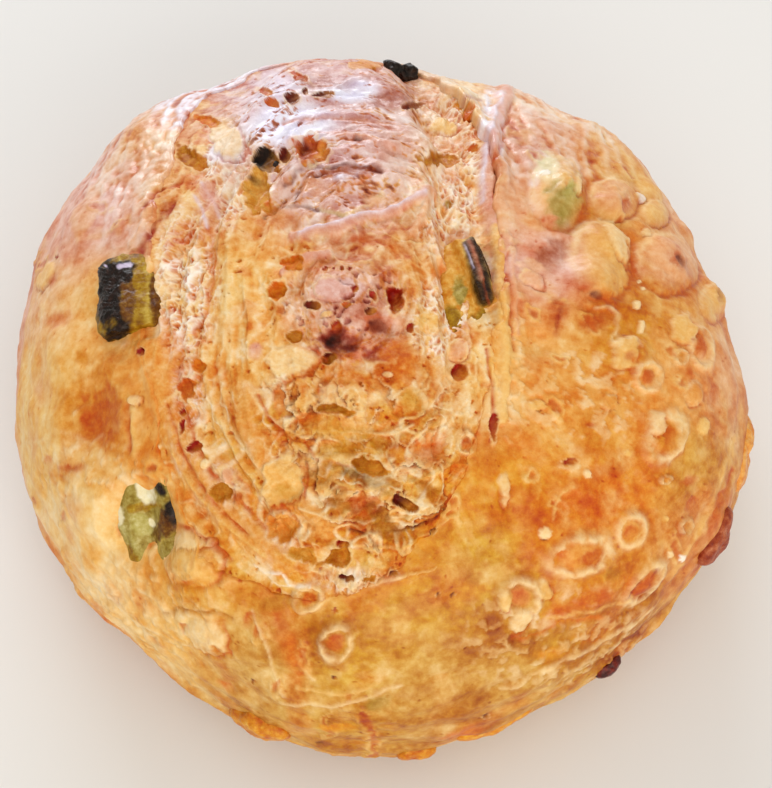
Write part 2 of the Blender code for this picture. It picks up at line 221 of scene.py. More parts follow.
# Marks where the camera sees them: look, colour, and the ovals marked so. An oval is its middle
# x and y and its half sizes, in the picture's pixels, and its turn in degrees, if it has one.
MARKS = (
    # the pepper under the skin, at the right rear, and the bubbles beside it
    ("dome", "straw", (558, 190, 28, 37, 10)),
    ("spot", "curd", (549, 172, 18, 22, 10)),
    ("spot", "moss", (566, 207, 22, 27, 15), (564, 218, 12, 15, 5)),
    ("spot", "sage", (572, 194, 12, 16, 15)),
    ("flake", "cream", (578, 186, 4, 9, 12)),
    # The white pearl is a raised bump whose white is a painted highlight.
    ("pearl", "white", (543, 175, 6, 3.4)),
    ("spot", "plum", (553, 256, 22, 20)),
    ("dome", "peach", (614, 198, 25, 21, -20)),
    ("spot", "rust", (627, 208, 11, 7, -20)),
    ("dome", "straw", (602, 258, 32, 40, 10)),
    ("flake", "cream", (618, 243, 11, 22, 28)),
    # The rust spot at the big blister's right and the umber one under it are painted shadow.
    ("spot", "rust", (636, 272, 9, 28, 15)),
    ("spot", "umber", (598, 296, 12, 4, -25)),
    ("dome", "peach", (668, 262, 33, 30, -35)),
    ("spot", "rust", (676, 261, 10, 20, 35)),
    ("spot", "umber", (679, 262, 4, 11, 35)),
    ("dome", "straw", (714, 302, 14, 20), (656, 213, 15, 13, -40)),
    ("spot", "toast", (718, 296, 5, 10)),
    ("spot", "umber", (718, 286, 2.4, 2.4)),
    ("flake", "white", (641, 197, 7, 3.4, -45)),
    ("flake", "cream", (646, 232, 5, 4)),
    # pearls and seeds
    ("pearl", "cream", (636, 305, 4.6, 4.6), (641, 327, 4.2, 6.8, -10), (545, 533, 6.5, 6.5),
        (588, 474, 3.6, 4.6), (671, 555, 3.4, 3.4), (641, 281, 2, 2), (643, 288, 2, 2)),
    # The umber spot is painted shadow beneath the cream pearl above it.
    ("spot", "umber", (545, 540, 4, 2)),
    ("pearl", "straw", (703, 426, 6.4, 9.6), (628, 453, 3, 3), (667, 519, 2.4, 2.4)),
    ("pearl", "white", (682, 558, 3, 4, -30)),
    # ring blisters of the right side
    ("ring", "rust", (701, 348, 12, 22, 10)),
    ("flake", "straw", (684, 328, 11, 17, 10)),
    ("ring", "amber", (681, 357, 7, 8)),
    ("facet", "straw", (627, 354, 15, 19)),
    ("spot", "clay", (631, 356, 9, 10)),
    ("spot", "orange", (634, 360, 6, 7)),
    ("spot", "rust", (599, 322, 18, 15), (559, 318, 13, 26, -12)),
    ("spot", "red", (558, 322, 5, 14, -12)),
    ("flake", "peach", (534, 280, 15, 8, -35)),
    ("ring", "rust", (648, 377, 14, 16)),
    ("ring", "amber", (666, 437, 20, 28, -22)),
    ("spot", "rust", (669, 437, 8, 12, -22)),
    ("flake", "cream", (657, 425, 8, 14, 10), (505, 487, 7, 18)),
    ("dome", "tan", (695, 393, 9, 14)),
    ("spot", "rust", (714, 392, 8, 18), (690, 482, 12, 6, 20), (693, 505, 8, 12)),
    ("pit", "red", (569, 462, 8, 3.6, 10)),
    ("spot", "orange", (570, 504, 12, 20, -38)),
    ("ring", "amber", (686, 526, 6.5, 8, -30)),
    ("ring", "tan", (581, 556, 36, 20, 16)),
    ("spot", "rust", (592, 559, 17, 10, 20)),
    ("spot", "orange", (562, 555, 8, 7)),
    ("ring", "tan", (631, 531, 15, 20, -18), (522, 597, 22, 20), (666, 480, 7, 4, 20)),
    ("spot", "rust", (630, 533, 7, 10, -18), (522, 597, 11, 13)),
    ("ring", "rust", (645, 583, 30, 10, 47)),
    ("flake", "straw", (545, 591, 8, 12), (505, 600, 7, 10), (536, 405, 8, 5)),
    ("flake", "cream", (519, 622, 9, 15, -40)),
    ("spot", "toast", (560, 632, 26, 11, 10), (455, 716, 30, 12, 15), (615, 575, 12, 8, 30)),
    ("spot", "gold", (553, 654, 20, 8, 10)),
    ("spot", "orange", (467, 735, 26, 9, 12)),
    ("spot", "rust", (713, 528, 7, 17, -25)),
    ("flake", "tan", (609, 402, 9, 8, 30)),
    ("spot", "rust", (590, 425, 9, 4), (620, 492, 4, 8)),
    # the left side
    ("spot", "amber", (98, 412, 38, 46)),
    ("spot", "rust", (104, 418, 28, 34), (90, 424, 14, 17, 10), (75, 468, 14, 6), (34, 501, 3, 7, 20)),
    ("spot", "amber", (63, 479, 7, 6, -40)),
    ("spot", "orange", (49, 460, 5, 7)),
    ("flake", "straw", (46, 276, 6, 15, -25)),
    ("spot", "rust", (52, 282, 4, 10, -25)),
    ("pit", "red", (57, 257, 2.4, 2.4), (143, 352, 5, 4)),
    ("spot", "orange", (60, 320, 16, 10, 20)),
    ("spot", "amber", (85, 360, 12, 8, -20)),
    ("flake", "cream", (133, 401, 8, 5)),
    ("dome", "straw", (193, 562, 31, 24, -15)),
    # The cream flake at the top of the straw bulge is partly a painted highlight.
    ("flake", "cream", (186, 541, 26, 7, -5)),
    ("spot", "gold", (196, 590, 24, 12)),
    ("spot", "orange", (187, 583, 8, 6)),
    ("spot", "rust", (249, 620, 8, 10)),
    ("ring", "rust", (308, 599, 17, 14, 25), (336, 643, 17, 20, -20)),
    ("flake", "cream", (207, 634, 23, 17, -35)),
    ("spot", "amber", (217, 650, 7, 4.6, -10)),
    ("spot", "orange", (227, 686, 11, 6, -20)),
    ("spot", "olive", (378, 705, 17, 8, 22)),
    ("spot", "gold", (344, 728, 24, 6)),
    ("spot", "toast", (330, 622, 12, 9)),
    ("pit", "red", (335, 611, 2, 2.4)),
    ("pit", "umber", (334, 678, 2.4, 2), (453, 595, 2, 2), (438, 595, 2, 2), (486, 716, 3.4, 2),
        (253, 681, 2, 2)),
    ("spot", "umber", (321, 742, 6, 1.6)),
    # oval holes in the glossy skin at the rear
    ("pit", "rust", (265, 92, 8, 3.4, -15), (273, 104, 7, 3.4, -10)),
    ("pit", "umber", (293, 100, 9, 5, 10)),
    ("pit", "rust", (302, 78, 12, 4, -25)),
    ("pit", "umber", (305, 92, 3, 4), (323, 96, 12, 2.6, 5), (413, 107, 10, 4, 5)),
    ("facet", "gold", (365, 66, 18, 5, 6)),
    ("spot", "plum", (330, 84, 40, 9, -8), (398, 100, 30, 12, 8), (350, 172, 44, 6)),
    ("pit", "orange", (209, 122, 15, 4, -20)),
    ("spot", "rose", (212, 204, 17, 24, 10)),
    ("spot", "glare", (230, 150, 28, 20, -30)),
    ("spot", "peach", (380, 200, 24, 9, 10)),
    ("spot", "cream", (328, 400, 22, 14)),
    ("spot", "toast", (285, 602, 30, 10, 15)),
    ("pit", "toast", (190, 158, 15, 9, -40)),
    ("spot", "cream", (203, 148, 7, 9, -40)),
    ("flake", "cream", (228, 142, 20, 14, -40)),
    ("pit", "char", (268, 163, 13, 10, -30)),
    ("pit", "umber", (285, 158, 5, 6)),
    ("pit", "honey", (260, 194, 15, 20, 10)),
    ("spot", "bark", (255, 179, 9, 4, -10)),
    ("spot", "orange", (270, 200, 8, 8)),
    ("pit", "rust", (313, 151, 17, 14, -30)),
    # The umber spot is painted shade on the pit's upper left wall, and the gold one its lit lower right
    # side.
    ("spot", "umber", (305, 148, 7, 9, -30)),
    ("spot", "gold", (320, 150, 8, 10, -30)),
    ("spot", "clay", (322, 188, 40, 12, -14), (290, 219, 26, 12, -8)),
    ("spot", "rust", (362, 240, 34, 7)),
    ("pit", "toast", (440, 160, 20, 7)),
    ("pit", "orange", (470, 115, 7, 9)),
    ("pit", "amber", (461, 104, 7, 5)),
    ("pit", "rust", (473, 148, 5, 4)),
    ("spot", "olive", (449, 204, 7, 6)),
    ("flake", "straw", (443, 128, 14, 8)),
    # the knob
    # The rose facet at the top of the knob is partly a painted highlight.
    ("facet", "rose", (332, 290, 20, 11, -12)),
    ("pit", "honey", (275, 291, 10, 11)),
    ("pit", "orange", (293, 263, 9, 7)),
    ("pit", "red", (396, 303, 9, 13, 10), (373, 296, 4, 8, 30),
        *((x, 269, 2.4, 2) for x in range(326, 358, 8)), (355, 289, 3, 3)),
    ("spot", "toast", (398, 310, 6, 6)),
    ("pit", "umber", (370, 311, 5, 3.4), (311, 306, 9, 5)),
    ("pit", "rust", (347, 304, 5, 3)),
    ("flake", "straw", (328, 314, 8, 4, 15)),
    ("pit", "red", (336, 326, 5, 7, -15)),
    ("spot", "rust", (342, 342, 40, 22)),
    ("spot", "red", (340, 342, 34, 17)),
    ("spot", "umber", (337, 342, 26, 13)),
    ("spot", "char", (333, 344, 13, 9)),
    ("spot", "umber", (352, 348, 12, 5)),
    ("pit", "umber", (329, 359, 7, 6)),
    ("spot", "rust", (380, 328, 22, 14)),
    ("spot", "umber", (380, 328, 14, 9)),
    ("spot", "red", (384, 353, 30, 11, 8)),
    ("pit", "red", (411, 328, 4, 5)),
    ("spot", "orange", (394, 352, 14, 18, -20)),
    ("spot", "straw", (432, 328, 20, 17, -30)),
    ("flake", "cream", (290, 362, 28, 16), (387, 375, 6, 4)),
    ("pit", "toast", (294, 337, 7, 6)),
    ("spot", "rose", (257, 350, 8, 13)),
    ("pit", "red", (458, 371, 11, 7, 10)),
    ("dome", "peach", (458, 350, 11, 12)),
    ("spot", "cream", (379, 398, 15, 9)),
    # the left of the opening
    ("pit", "rust", (187, 389, 7, 14, 4)),
    ("pit", "orange", (201, 367, 6, 7), (275, 290, 9, 11)),
    ("pit", "red", (183, 412, 3, 4), (183, 428, 2.6, 7), (197, 447, 6, 5)),
    ("pearl", "cream", (207, 463, 4, 5)),
    ("pearl", "peach", (229, 475, 6, 8)),
    ("pit", "toast", (225, 490, 11, 8)),
    ("spot", "bark", (372, 474, 34, 15, -20)),
    ("spot", "bronze", (350, 446, 34, 12)),
    ("spot", "toast", (345, 502, 22, 10, -10)),
    ("spot", "bark", (385, 522, 30, 11, -42)),
    ("facet", "straw", (283, 481, 20, 26, -8)),
    ("spot", "honey", (288, 493, 13, 12)),
    ("pit", "tan", (284, 526, 14, 13, -35)),
    ("pit", "honey", (303, 553, 13, 7, -10)),
    ("pit", "toast", (337, 557, 15, 9, 25)),
    ("pit", "red", (342, 541, 8, 5)),
    ("pit", "umber", (347, 576, 9, 4), (393, 572, 5, 3)),
    ("pit", "toast", (370, 577, 9, 4)),
    # the torn front of the flap
    ("pit", "toast", (335, 409, 19, 5, -8)),
    ("spot", "orange", (312, 419, 16, 7)),
    ("spot", "honey", (415, 402, 27, 12, -38), (352, 432, 44, 12)),
    ("spot", "toast", (325, 475, 19, 15), (380, 443, 22, 10, -8)),
    ("pit", "toast", (368, 465, 20, 7, -12)),
    ("spot", "orange", (432, 452, 18, 22, -30)),
    ("ring", "rust", (466, 443, 10, 12)),
    ("spot", "orange", (461, 470, 11, 9)),
    ("spot", "rust", (366, 505, 28, 16, -8)),
    ("pit", "umber", (403, 501, 13, 6, -14)),
    ("spot", "toast", (432, 492, 24, 9, -38), (392, 528, 40, 14, -20), (395, 482, 12, 5, -25)),
    ("spot", "gold", (425, 545, 18, 8, -25)),
    ("pit", "umber", (433, 530, 3, 3)),
    ("pit", "red", (493, 428, 4, 15, -3)),
    ("spot", "orange", (478, 438, 6, 14)),
)

# Lines where the camera sees them: look, colour, and the runs drawn so. A run is its half width
# and its points, in the picture's pixels.
LINES = (
    ("streak", "glare", (3, (533, 184), (539, 168), (549, 157)),
        (2.2, (203, 184), (211, 198), (217, 216))),
    ("ridge", "rose", (2.2, (521, 262), (530, 272), (548, 288), (560, 296)),
        (2.6, (290, 145), (320, 135), (360, 138), (395, 150))),
    ("ridge", "cream", (1.8, (596, 308), (607, 306), (617, 314), (618, 328), (612, 344)),
        (1.6, (614, 364), (622, 349), (636, 338), (641, 345)), (1.6, (560, 467), (569, 469), (578, 465))),
    ("ridge", "straw", (1.6, (553, 520), (555, 502), (565, 492), (576, 488))),
    ("streak", "rust", (4, (514, 511), (524, 508), (536, 509))),
    ("streak", "orange", (13, (553, 612), (580, 604), (605, 594), (624, 583))),
    ("streak", "rust", (7, (558, 613), (582, 606), (606, 595)), (13, (268, 600), (278, 624), (288, 646)),
        (7, (140, 252), (150, 234), (160, 216), (172, 200)), (3.6, (139, 214), (150, 203), (163, 192))),
    ("crease", "red", (1.6, (622, 602), (634, 588), (645, 577)),
        (1.4, (650, 587), (655, 575), (658, 568))),
    ("ridge", "cream", (1.8, (503, 690), (540, 672), (575, 655), (600, 645), (632, 625), (652, 608))),
    ("ridge", "straw", (1.6, (545, 618), (575, 613), (605, 610), (632, 596)),
        (3, (741, 432), (726, 468), (712, 500), (700, 526), (686, 553), (668, 578))),
    ("crease", "rust", (2, (733, 470), (720, 498), (708, 522))),
    ("streak", "orange", (8, (286, 640), (295, 660), (302, 680))),
    ("ridge", "cream", (1.4, (252, 610), (261, 632), (271, 660), (281, 694)),
        (1.6, (280, 702), (330, 707), (365, 698), (402, 687)),
        (1.8, (60, 430), (70, 433), (90, 444), (102, 435)), (1.4, (74, 412), (84, 406), (94, 404)),
        (1.8, (66, 479), (85, 481), (108, 480)), (1.6, (27, 443), (45, 440), (56, 446)),
        (2.6, (150, 554), (165, 535), (190, 530), (208, 540), (224, 564))),
    ("ridge", "straw", (1.3, (302, 650), (306, 668), (309, 690)),
        (1.6, (300, 690), (345, 694), (380, 684)), (3.4, (131, 400), (133, 416), (134, 435), (135, 454))),
    ("crease", "toast", (2, (165, 612), (190, 609), (215, 612), (230, 618))),
    ("crease", "rust", (2.4, (126, 405), (128, 425), (129, 450)), (3, (150, 197), (165, 190), (181, 182)),
        (2.6, (180, 526), (195, 531), (216, 547), (228, 558))),
    ("streak", "glare", (1.8, (196, 198), (203, 212), (206, 226))),
    ("ridge", "peach", (2.4, (130, 246), (139, 226), (150, 209), (160, 195))),
    ("crease", "red", (3.6, (140, 250), (149, 234), (160, 216), (171, 203)),
        (1.8, (143, 206), (152, 198), (164, 190))),
    ("strand", "rose", (8, (505, 92), (497, 118), (490, 145), (486, 172), (486, 200), (492, 230))),
    # The glare ridge along the ear is a painted highlight; the rust crease beside it is a dent painted
    # dark as shadow in the groove on its outer side.
    ("ridge", "glare", (2.6, (500, 96), (492, 122), (485, 150), (481, 178), (481, 204))),
    ("crease", "rust", (2, (512, 104), (504, 128), (498, 156), (495, 188), (497, 214), (502, 236))),
    ("strand", "straw", (5, (494, 232), (498, 262), (500, 300), (504, 340), (505, 380), (502, 420))),
    ("ridge", "straw", (1.8, (501, 240), (504, 270), (506, 300), (510, 335), (512, 365)),
        (2, (95, 560), (110, 574), (128, 580))),
    ("ridge", "peach", (1.6, (510, 236), (514, 265), (515, 300), (518, 335))),
    ("crease", "rust", (1.6, (507, 250), (510, 285), (511, 320), (514, 350))),
    ("crease", "orange", (2, (520, 640), (560, 622), (600, 617)),
        (2.4, (213, 240), (211, 265), (209, 290), (203, 315), (195, 337))),
    ("ridge", "cream", (1.6, (140, 590), (160, 600), (172, 616))),
    ("crease", "umber", (2.4, (285, 186), (297, 173), (318, 167), (357, 168), (382, 173)),
        (1.8, (293, 202), (300, 187), (310, 177), (327, 174))),
    ("ridge", "glare", (2.4, (304, 196), (322, 184), (342, 180), (356, 174))),
    ("crease", "umber", (2, (265, 218), (278, 208), (290, 205), (307, 207), (327, 212), (347, 220))),
    ("strand", "rose", (5.5, (294, 238), (330, 230), (355, 223), (394, 210), (431, 194)),
        (4.5, (284, 273), (302, 263), (328, 254))),
    ("ridge", "glare", (2.4, (300, 234), (340, 224), (380, 213), (425, 196))),
    ("strand", "peach", (4, (411, 233), (423, 216), (433, 195))),
    ("ridge", "cream", (2.2, (322, 210), (347, 219), (366, 206), (384, 194))),
    ("streak", "orange", (3, (338, 192), (352, 184), (367, 178)),
        (7, (330, 376), (365, 379), (400, 371))),
    ("crease", "mauve", (2.4, (285, 125), (320, 118), (360, 120), (400, 130))),
    ("ridge", "straw", (2.2, (205, 235), (203, 262), (201, 288), (195, 312)),
        (1.4, (254, 175), (256, 192), (264, 203)), (1.4, (192, 380), (194, 392), (192, 404))),
    ("ridge", "white", (1.2, (262, 150), (270, 158), (278, 164))),
    ("strand", "tan", (13, (152, 350), (163, 398), (176, 440), (200, 480), (232, 518), (285, 562)),
        (10, (244, 392), (250, 428), (264, 462), (296, 496), (326, 526))),
    ("crease", "rust", (2.4, (184, 405), (194, 440), (212, 472), (240, 500), (268, 528)),
        (2, (306, 460), (308, 478), (306, 494))),
    ("ridge", "straw", (2.2, (176, 452), (200, 494), (235, 528), (268, 554))),
    ("crease", "rust", (2, (170, 405), (182, 444), (200, 480), (222, 508), (250, 533))),
    ("ridge", "white", (1.6, (257, 565), (267, 572), (284, 573), (290, 585), (311, 585))),
    ("ridge", "cream", (2, (313, 569), (330, 577), (352, 586), (378, 583), (405, 576))),
    ("ridge", "straw", (1.2, (405, 576), (420, 572), (435, 566)),
        (1.8, (490, 350), (495, 380), (497, 410), (493, 446)),
        (1.5, (330, 480), (365, 486), (400, 484), (440, 470)),
        (1.5, (345, 540), (380, 548), (415, 540), (448, 520))),
    ("ridge", "cream", (1.6, (482, 356), (486, 385), (488, 412)),
        (1.6, (250, 388), (262, 410), (285, 428), (312, 436)),
        (1.6, (232, 428), (250, 455), (272, 478), (262, 500)),
        (1.5, (318, 440), (350, 430), (385, 434), (412, 424)),
        (1.5, (300, 505), (330, 515), (365, 518), (405, 516), (440, 500))),
    ("crease", "rust", (1.8, (487, 350), (491, 385), (493, 415)),
        (1.8, (305, 440), (318, 458), (345, 466), (380, 466)), (1.8, (258, 395), (270, 418), (292, 438))),
    ("crease", "umber", (1.8, (352, 528), (385, 532), (418, 524), (445, 508)),
        (2, (322, 334), (336, 346), (352, 349))),
    ("crease", "red", (1.6, (448, 90), (462, 93), (480, 99))),
    ("ridge", "peach", (2.4, (310, 285), (320, 276), (340, 275), (362, 280), (372, 288))),
    ("ridge", "cream", (2, (284, 250), (300, 262), (296, 285))),
)

# The same for the pieces in the crust
PIECE_MARKS = {
    "pepper_chunk": (
        ("stain", "olive", (136, 292, 12, 42)),
        ("stain", "char", (108, 296, 19, 44, 7)),
        ("stain", "bark", (128, 300, 8, 40, 4)),
        ("stain", "char", (116, 270, 21, 15), (120, 331, 16, 11, 15)),
        ("stain", "bark", (156, 296, 7, 44)),
        # The lilac stains are painted highlights on the charred side.
        ("stain", "lilac", (124, 265, 8, 3, 10), (105, 265, 3, 1.6, -30)),
    ),
    "pepper_slice": (
        ("stain", "moss", (460, 290, 9, 18)),
        ("stain", "olive", (480, 326, 15, 22), (452, 318, 9, 14)),
        ("stain", "bark", (468, 336, 16, 9)),
    ),
    "pepper_green": (
        # The bark and char stains at the right and upper right are painted shadow of the crust that
        # overhangs the piece.
        ("stain", "bark", (168, 523, 12, 26, -38)),
        ("stain", "char", (175, 510, 11, 15), (160, 487, 6, 14, 35)),
        ("stain", "olive", (141, 507, 17, 6, 8)),
        ("stain", "curd", (145, 488, 10, 16, 20)),
        ("stain", "sage", (141, 527, 12, 14, 20)),
        ("stain", "curd", (152, 523, 4, 6, 30), (118, 514, 6, 11)),
        ("stain", "olive", (131, 558, 6, 22, 28)),
    ),
}
PIECE_LINES = {
    "pepper_chunk": (
        ("streak", "leaf", (3.4, (148, 254), (149, 290), (146, 318))),
        ("streak", "umber", (2.4, (156, 252), (157, 290), (155, 324))),
        # The clay ridges on the ribs are partly painted highlights.
        ("ridge", "clay",
            *((0.9, (98 + (y - 268) // 6, y), (106 + (y - 268) // 6, y + 1)) for y in range(268, 318, 4))),
    ),
    "pepper_slice": (
        ("crease", "umber", (2, (496, 250), (497, 280), (494, 312))),
        ("bar", "char", (10.5, (474, 247), (479, 272), (484, 297))),
        # The mauve, lilac and plum ridges along the charred bar are painted highlights, the mauve and plum
        # ones partly its own reddish colour.
        ("ridge", "mauve", (2.6, (470, 244), (475, 260), (480, 278))),
        ("ridge", "lilac", (1, (466, 248), (469, 258), (472, 268))),
        ("ridge", "plum", (1.4, (482, 280), (486, 296), (488, 304))),
    ),
    "pepper_green": (
        ("ridge", "sage", (3.6, (117, 524), (131, 540), (148, 558))),
        ("ridge", "leaf", (1.6, (149, 560), (158, 549), (168, 538), (179, 528))),
        ("crease", "bark", (2.2, (150, 553), (158, 535), (166, 512))),
    ),
}

# ---------------------------------------------------------------- noise and shaping

def gradient_noise(points, seed):
    """Smooth noise of about -1 to 1 at each point, with one lattice cell to a unit."""
    rng = np.random.default_rng(seed)
    order = rng.permutation(256)
    slopes = unit(rng.normal(size=(256, 3)))
    cell = np.floor(points).astype(int)
    local = points - cell
    fade = local ** 3 * (local * (local * 6 - 15) + 10)
    total = np.zeros(len(points))
    for corner in itertools.product((0, 1), repeat=3):
        spot = (cell + corner) & 255
        key = order[(order[(order[spot[:, 0]] + spot[:, 1]) & 255] + spot[:, 2]) & 255]
        weight = np.prod(np.where(corner, fade, 1 - fade), axis=1)
        total += weight * np.einsum("ij,ij->i", slopes[key], local - corner)
    return total * 1.6


def fractal(points, size, octaves, seed):
    """Noise of the given size in mm, with finer and fainter noise on it."""
    return sum(gradient_noise(points * 2 ** k / size, seed + k) / 2 ** k for k in range(octaves))


def ridges(points, seed, narrowness=2.4):
    """1 along crooked lines, and falling off on both sides."""
    return 1 - narrowness * np.abs(gradient_noise(points, seed))


def smooth_step(value, low, high):
    t = np.clip((value - low) / (high - low), 0, 1)
    return t * t * (3 - 2 * t)


def blotches(points, size, octaves, seed, low, high):
    """1 in scattered blotches and 0 between them."""
    return smooth_step(fractal(points, size, octaves, seed), low, high)


def dome(distance, radius):
    """1 at the middle and 0 from the radius out, with a rounded foot."""
    return np.clip(1 - (distance / radius) ** 2, 0, 1) ** 1.5


def bell(value, middle, width):
    return np.exp(-(((value - middle) / width) ** 2))


def unit(vectors):
    return vectors / np.linalg.norm(vectors, axis=-1, keepdims=True)


def bubbles(x, y, seed, round_y=0):
    """Cells round scattered middles: distance to the nearest middle, to the next, and each
    cell's own number from 0 to 1. round_y is how many cells y holds before it repeats."""
    rng = np.random.default_rng(seed)
    order = rng.permutation(256)
    scatter = rng.random((256, 3))
    cell_x, cell_y = np.floor(x).astype(int), np.floor(y).astype(int)
    nearest = np.full(len(x), 9.0)
    second = np.full(len(x), 9.0)
    number = np.zeros(len(x))
    for step_x, step_y in itertools.product((-1, 0, 1), repeat=2):
        at_x, at_y = cell_x + step_x, cell_y + step_y
        name_y = at_y % round_y if round_y else at_y
        key = order[(order[at_x & 255] + name_y) & 255]
        away = np.hypot(at_x + scatter[key, 0] - x, at_y + scatter[key, 1] - y)
        closer = away < nearest
        second = np.where(closer, nearest, np.minimum(second, away))
        number = np.where(closer, scatter[key, 2], number)
        nearest = np.minimum(nearest, away)
    return nearest, second, number


# ---------------------------------------------------------------- the loaf's form

def towards(azimuth, tilt):
    """Unit directions of places on the crust."""
    a, t = np.radians(azimuth), np.radians(tilt)
    return np.stack([np.cos(a) * np.sin(t), np.sin(a) * np.sin(t), np.cos(t)], axis=-1)


def smooth_loaf(directions):
    """Points of the loaf without relief, along directions from the middle of its waist."""
    azimuth = np.arctan2(directions[:, 1], directions[:, 0])
    ring = ring_radius(azimuth)
    across = np.hypot(directions[:, 0], directions[:, 1]) / ring
    rise = np.abs(directions[:, 2])
    above = (across ** DOME_POWER + (rise / (HEIGHT - WAIST)) ** DOME_POWER) ** (-1 / DOME_POWER)
    below = (across ** TUCK_POWER + (rise / TUCK_DEPTH) ** TUCK_POWER) ** (-1 / TUCK_POWER)
    below = np.minimum(below, WAIST / np.maximum(rise, 1e-6))
    reach = np.where(directions[:, 2] > 0, above, below)
    return directions * reach[:, None] + (0, 0, WAIST)


def ring_radius(azimuth):
    return RADIUS + sum(
        swell * np.cos(waves * (azimuth - math.radians(crest)))
        for waves, swell, crest in RING_SWELLS
    )


def loaf_above(x, y):
    """Points of the loaf without relief over plan places."""
    across = np.hypot(x, y) / ring_radius(np.arctan2(y, x))
    rise = np.clip(1 - across ** DOME_POWER, 1e-6, 1) ** (1 / DOME_POWER)
    return np.stack([x, y, WAIST + (HEIGHT - WAIST) * rise], axis=1)


def outline_distance(x, y, outline):
    """Millimetres outside a superellipse seen from above, negative inside it."""
    middle_x, middle_y, half_width, half_length, power = outline
    across = np.abs(x - middle_x) / half_width
    along = np.abs(y - middle_y) / half_length
    level = np.maximum((across ** power + along ** power) ** (1 / power), 1e-6)
    slope = np.hypot(
        (across / level) ** (power - 1) / half_width, (along / level) ** (power - 1) / half_length
    )
    return (level - 1) / np.maximum(slope, 1 / half_length)


def rim_distance(points):
    """Millimetres outside the tear, negative inside it."""
    rim = outline_distance(points[:, 0], points[:, 1], OPENING)
    return rim + OUTLINE_WOBBLE * fractal(points, 28, 2, 31)


def flap_distance(points):
    flap = outline_distance(points[:, 0], points[:, 1], FLAP)
    return flap + OUTLINE_WOBBLE * fractal(points, 24, 2, 21)


def knob_distance(points):
    return np.hypot(points[:, 0] - KNOB[0], points[:, 1] - KNOB[1])


def around_knob(points):
    """Distance from the knob along the torn strands' rings, and the turn round it."""
    x, y = points[:, 0] - KNOB[0], (points[:, 1] - KNOB[1]) / STRAND_STRETCH
    ring = np.hypot(x, y) + STRAND_WOBBLE * fractal(points, 30, 2, 11)
    return ring, np.arctan2(y, x)


def strands(points):
    """Ridges of -1 to 1 that circle the knob, as torn dough does."""
    ring, turn = around_knob(points)
    wound = np.stack(
        [ring / STRAND_SPACING, STRAND_BREAKS * np.cos(turn), STRAND_BREAKS * np.sin(turn)], axis=1
    )
    return ridges(wound, 12, 2)


def lip_height(points):
    ear = smooth_step(points[:, 0], 0, EAR_START_X) * dome(points[:, 1] - EAR_MIDDLE_Y, EAR_REACH)
    return LIP_HEIGHT + (EAR_HEIGHT - LIP_HEIGHT) * ear


def lip(points, rim):
    return lip_height(points) * bell(rim, 0, LIP_WIDTH)


def torn_relief(points, rim, band_depth, strand_share):
    """Height of the torn band, the flap in it, its strands and its knob."""
    inside = smooth_step(-rim, 0, BAND_SLOPE)
    flap = smooth_step(-flap_distance(points), 0, FLAP_SLOPE)
    height = (band_depth + FLAP_RISE) * inside * flap - band_depth * inside
    height += STRAND_HEIGHT * inside * strands(points) * strand_share
    return height + KNOB_HEIGHT * dome(knob_distance(points), KNOB_RADIUS)


def place(azimuth, tilt):
    """Point of the smooth loaf at a place."""
    return smooth_loaf(towards(azimuth, tilt)[None])[0]


def distance_from(azimuth, tilt, points):
    return np.linalg.norm(points - place(azimuth, tilt), axis=1)


def swell_and_sink(points, hollow_share=1.0):
    height = np.zeros(len(points))
    for azimuth, tilt, radius, swell in SWELLINGS:
        height += swell * dome(distance_from(azimuth, tilt, points), radius)
    for azimuth, tilt, radius, depth in HOLLOWS:
        height -= hollow_share * depth * dome(distance_from(azimuth, tilt, points), radius)
    return height


def dough_grain(points, rim):
    """Uneven dough and the creases round the flank."""
    flank = smooth_step(-points[:, 2], *(-level for level in FOLD_FADE))
    stretched = points / (FOLD_STRETCH, FOLD_STRETCH, 1)
    folds = flank * smooth_step(rim, 0, LIP_BLEND) * fractal(stretched, FOLD_SPACING, 2, 51)
    return GRAIN_HEIGHT * fractal(points, GRAIN_SIZE, 3, 41) + FOLD_HEIGHT * folds


def relief(points):
    """Height in mm of the solid loaf's relief at each of the smooth loaf's points."""
    rim = rim_distance(points)
    height = torn_relief(points, rim, BAND_DEPTH, 1.0) + lip(points, rim)
    height += dough_grain(points, rim) + swell_and_sink(points)
    return height * smooth_step(points[:, 2], *FOOT_BLEND)


def crust_points(directions):
    base = smooth_loaf(directions)
    grown = base + directions * relief(base)[:, None]
    grown[:, 2] = np.maximum(grown[:, 2], 0)
    return grown + (*SHIFT, 0)


# How far the tear opens round the loaf: azimuths, and shares of the solid's band and lip
TEAR_AZIMUTHS = (-180, -135, -105, -55, -20, 20, 72, 95, 130, 160, 180)
TEAR_SHARES = (0.5, 0.35, 0.1, 0.18, 0.6, 1.0, 1.0, 0.35, 0.3, 0.5, 0.5)
TEAR_WOBBLE = 1.3
TEAR_WOBBLE_SIZE = 8.0
CRUMB_HOLLOW_SHARE = 0.35
KNOB_CORE = 4.0           # radius without strands


def torn_edge(points):
    """Millimetres outside the tear with its finer rags, negative inside it."""
    return rim_distance(points) + TEAR_WOBBLE * fractal(points, TEAR_WOBBLE_SIZE, 3, 36)


def tear_share(points):
    turn = np.degrees(np.arctan2(points[:, 1], points[:, 0]))
    return np.interp(turn, TEAR_AZIMUTHS, TEAR_SHARES)


def crust_form(points, rim):
    """Height of the crust's coarse surface outside the tear."""
    height = tear_share(points) * lip(points, rim)
    return height + dough_grain(points, rim) + swell_and_sink(points)


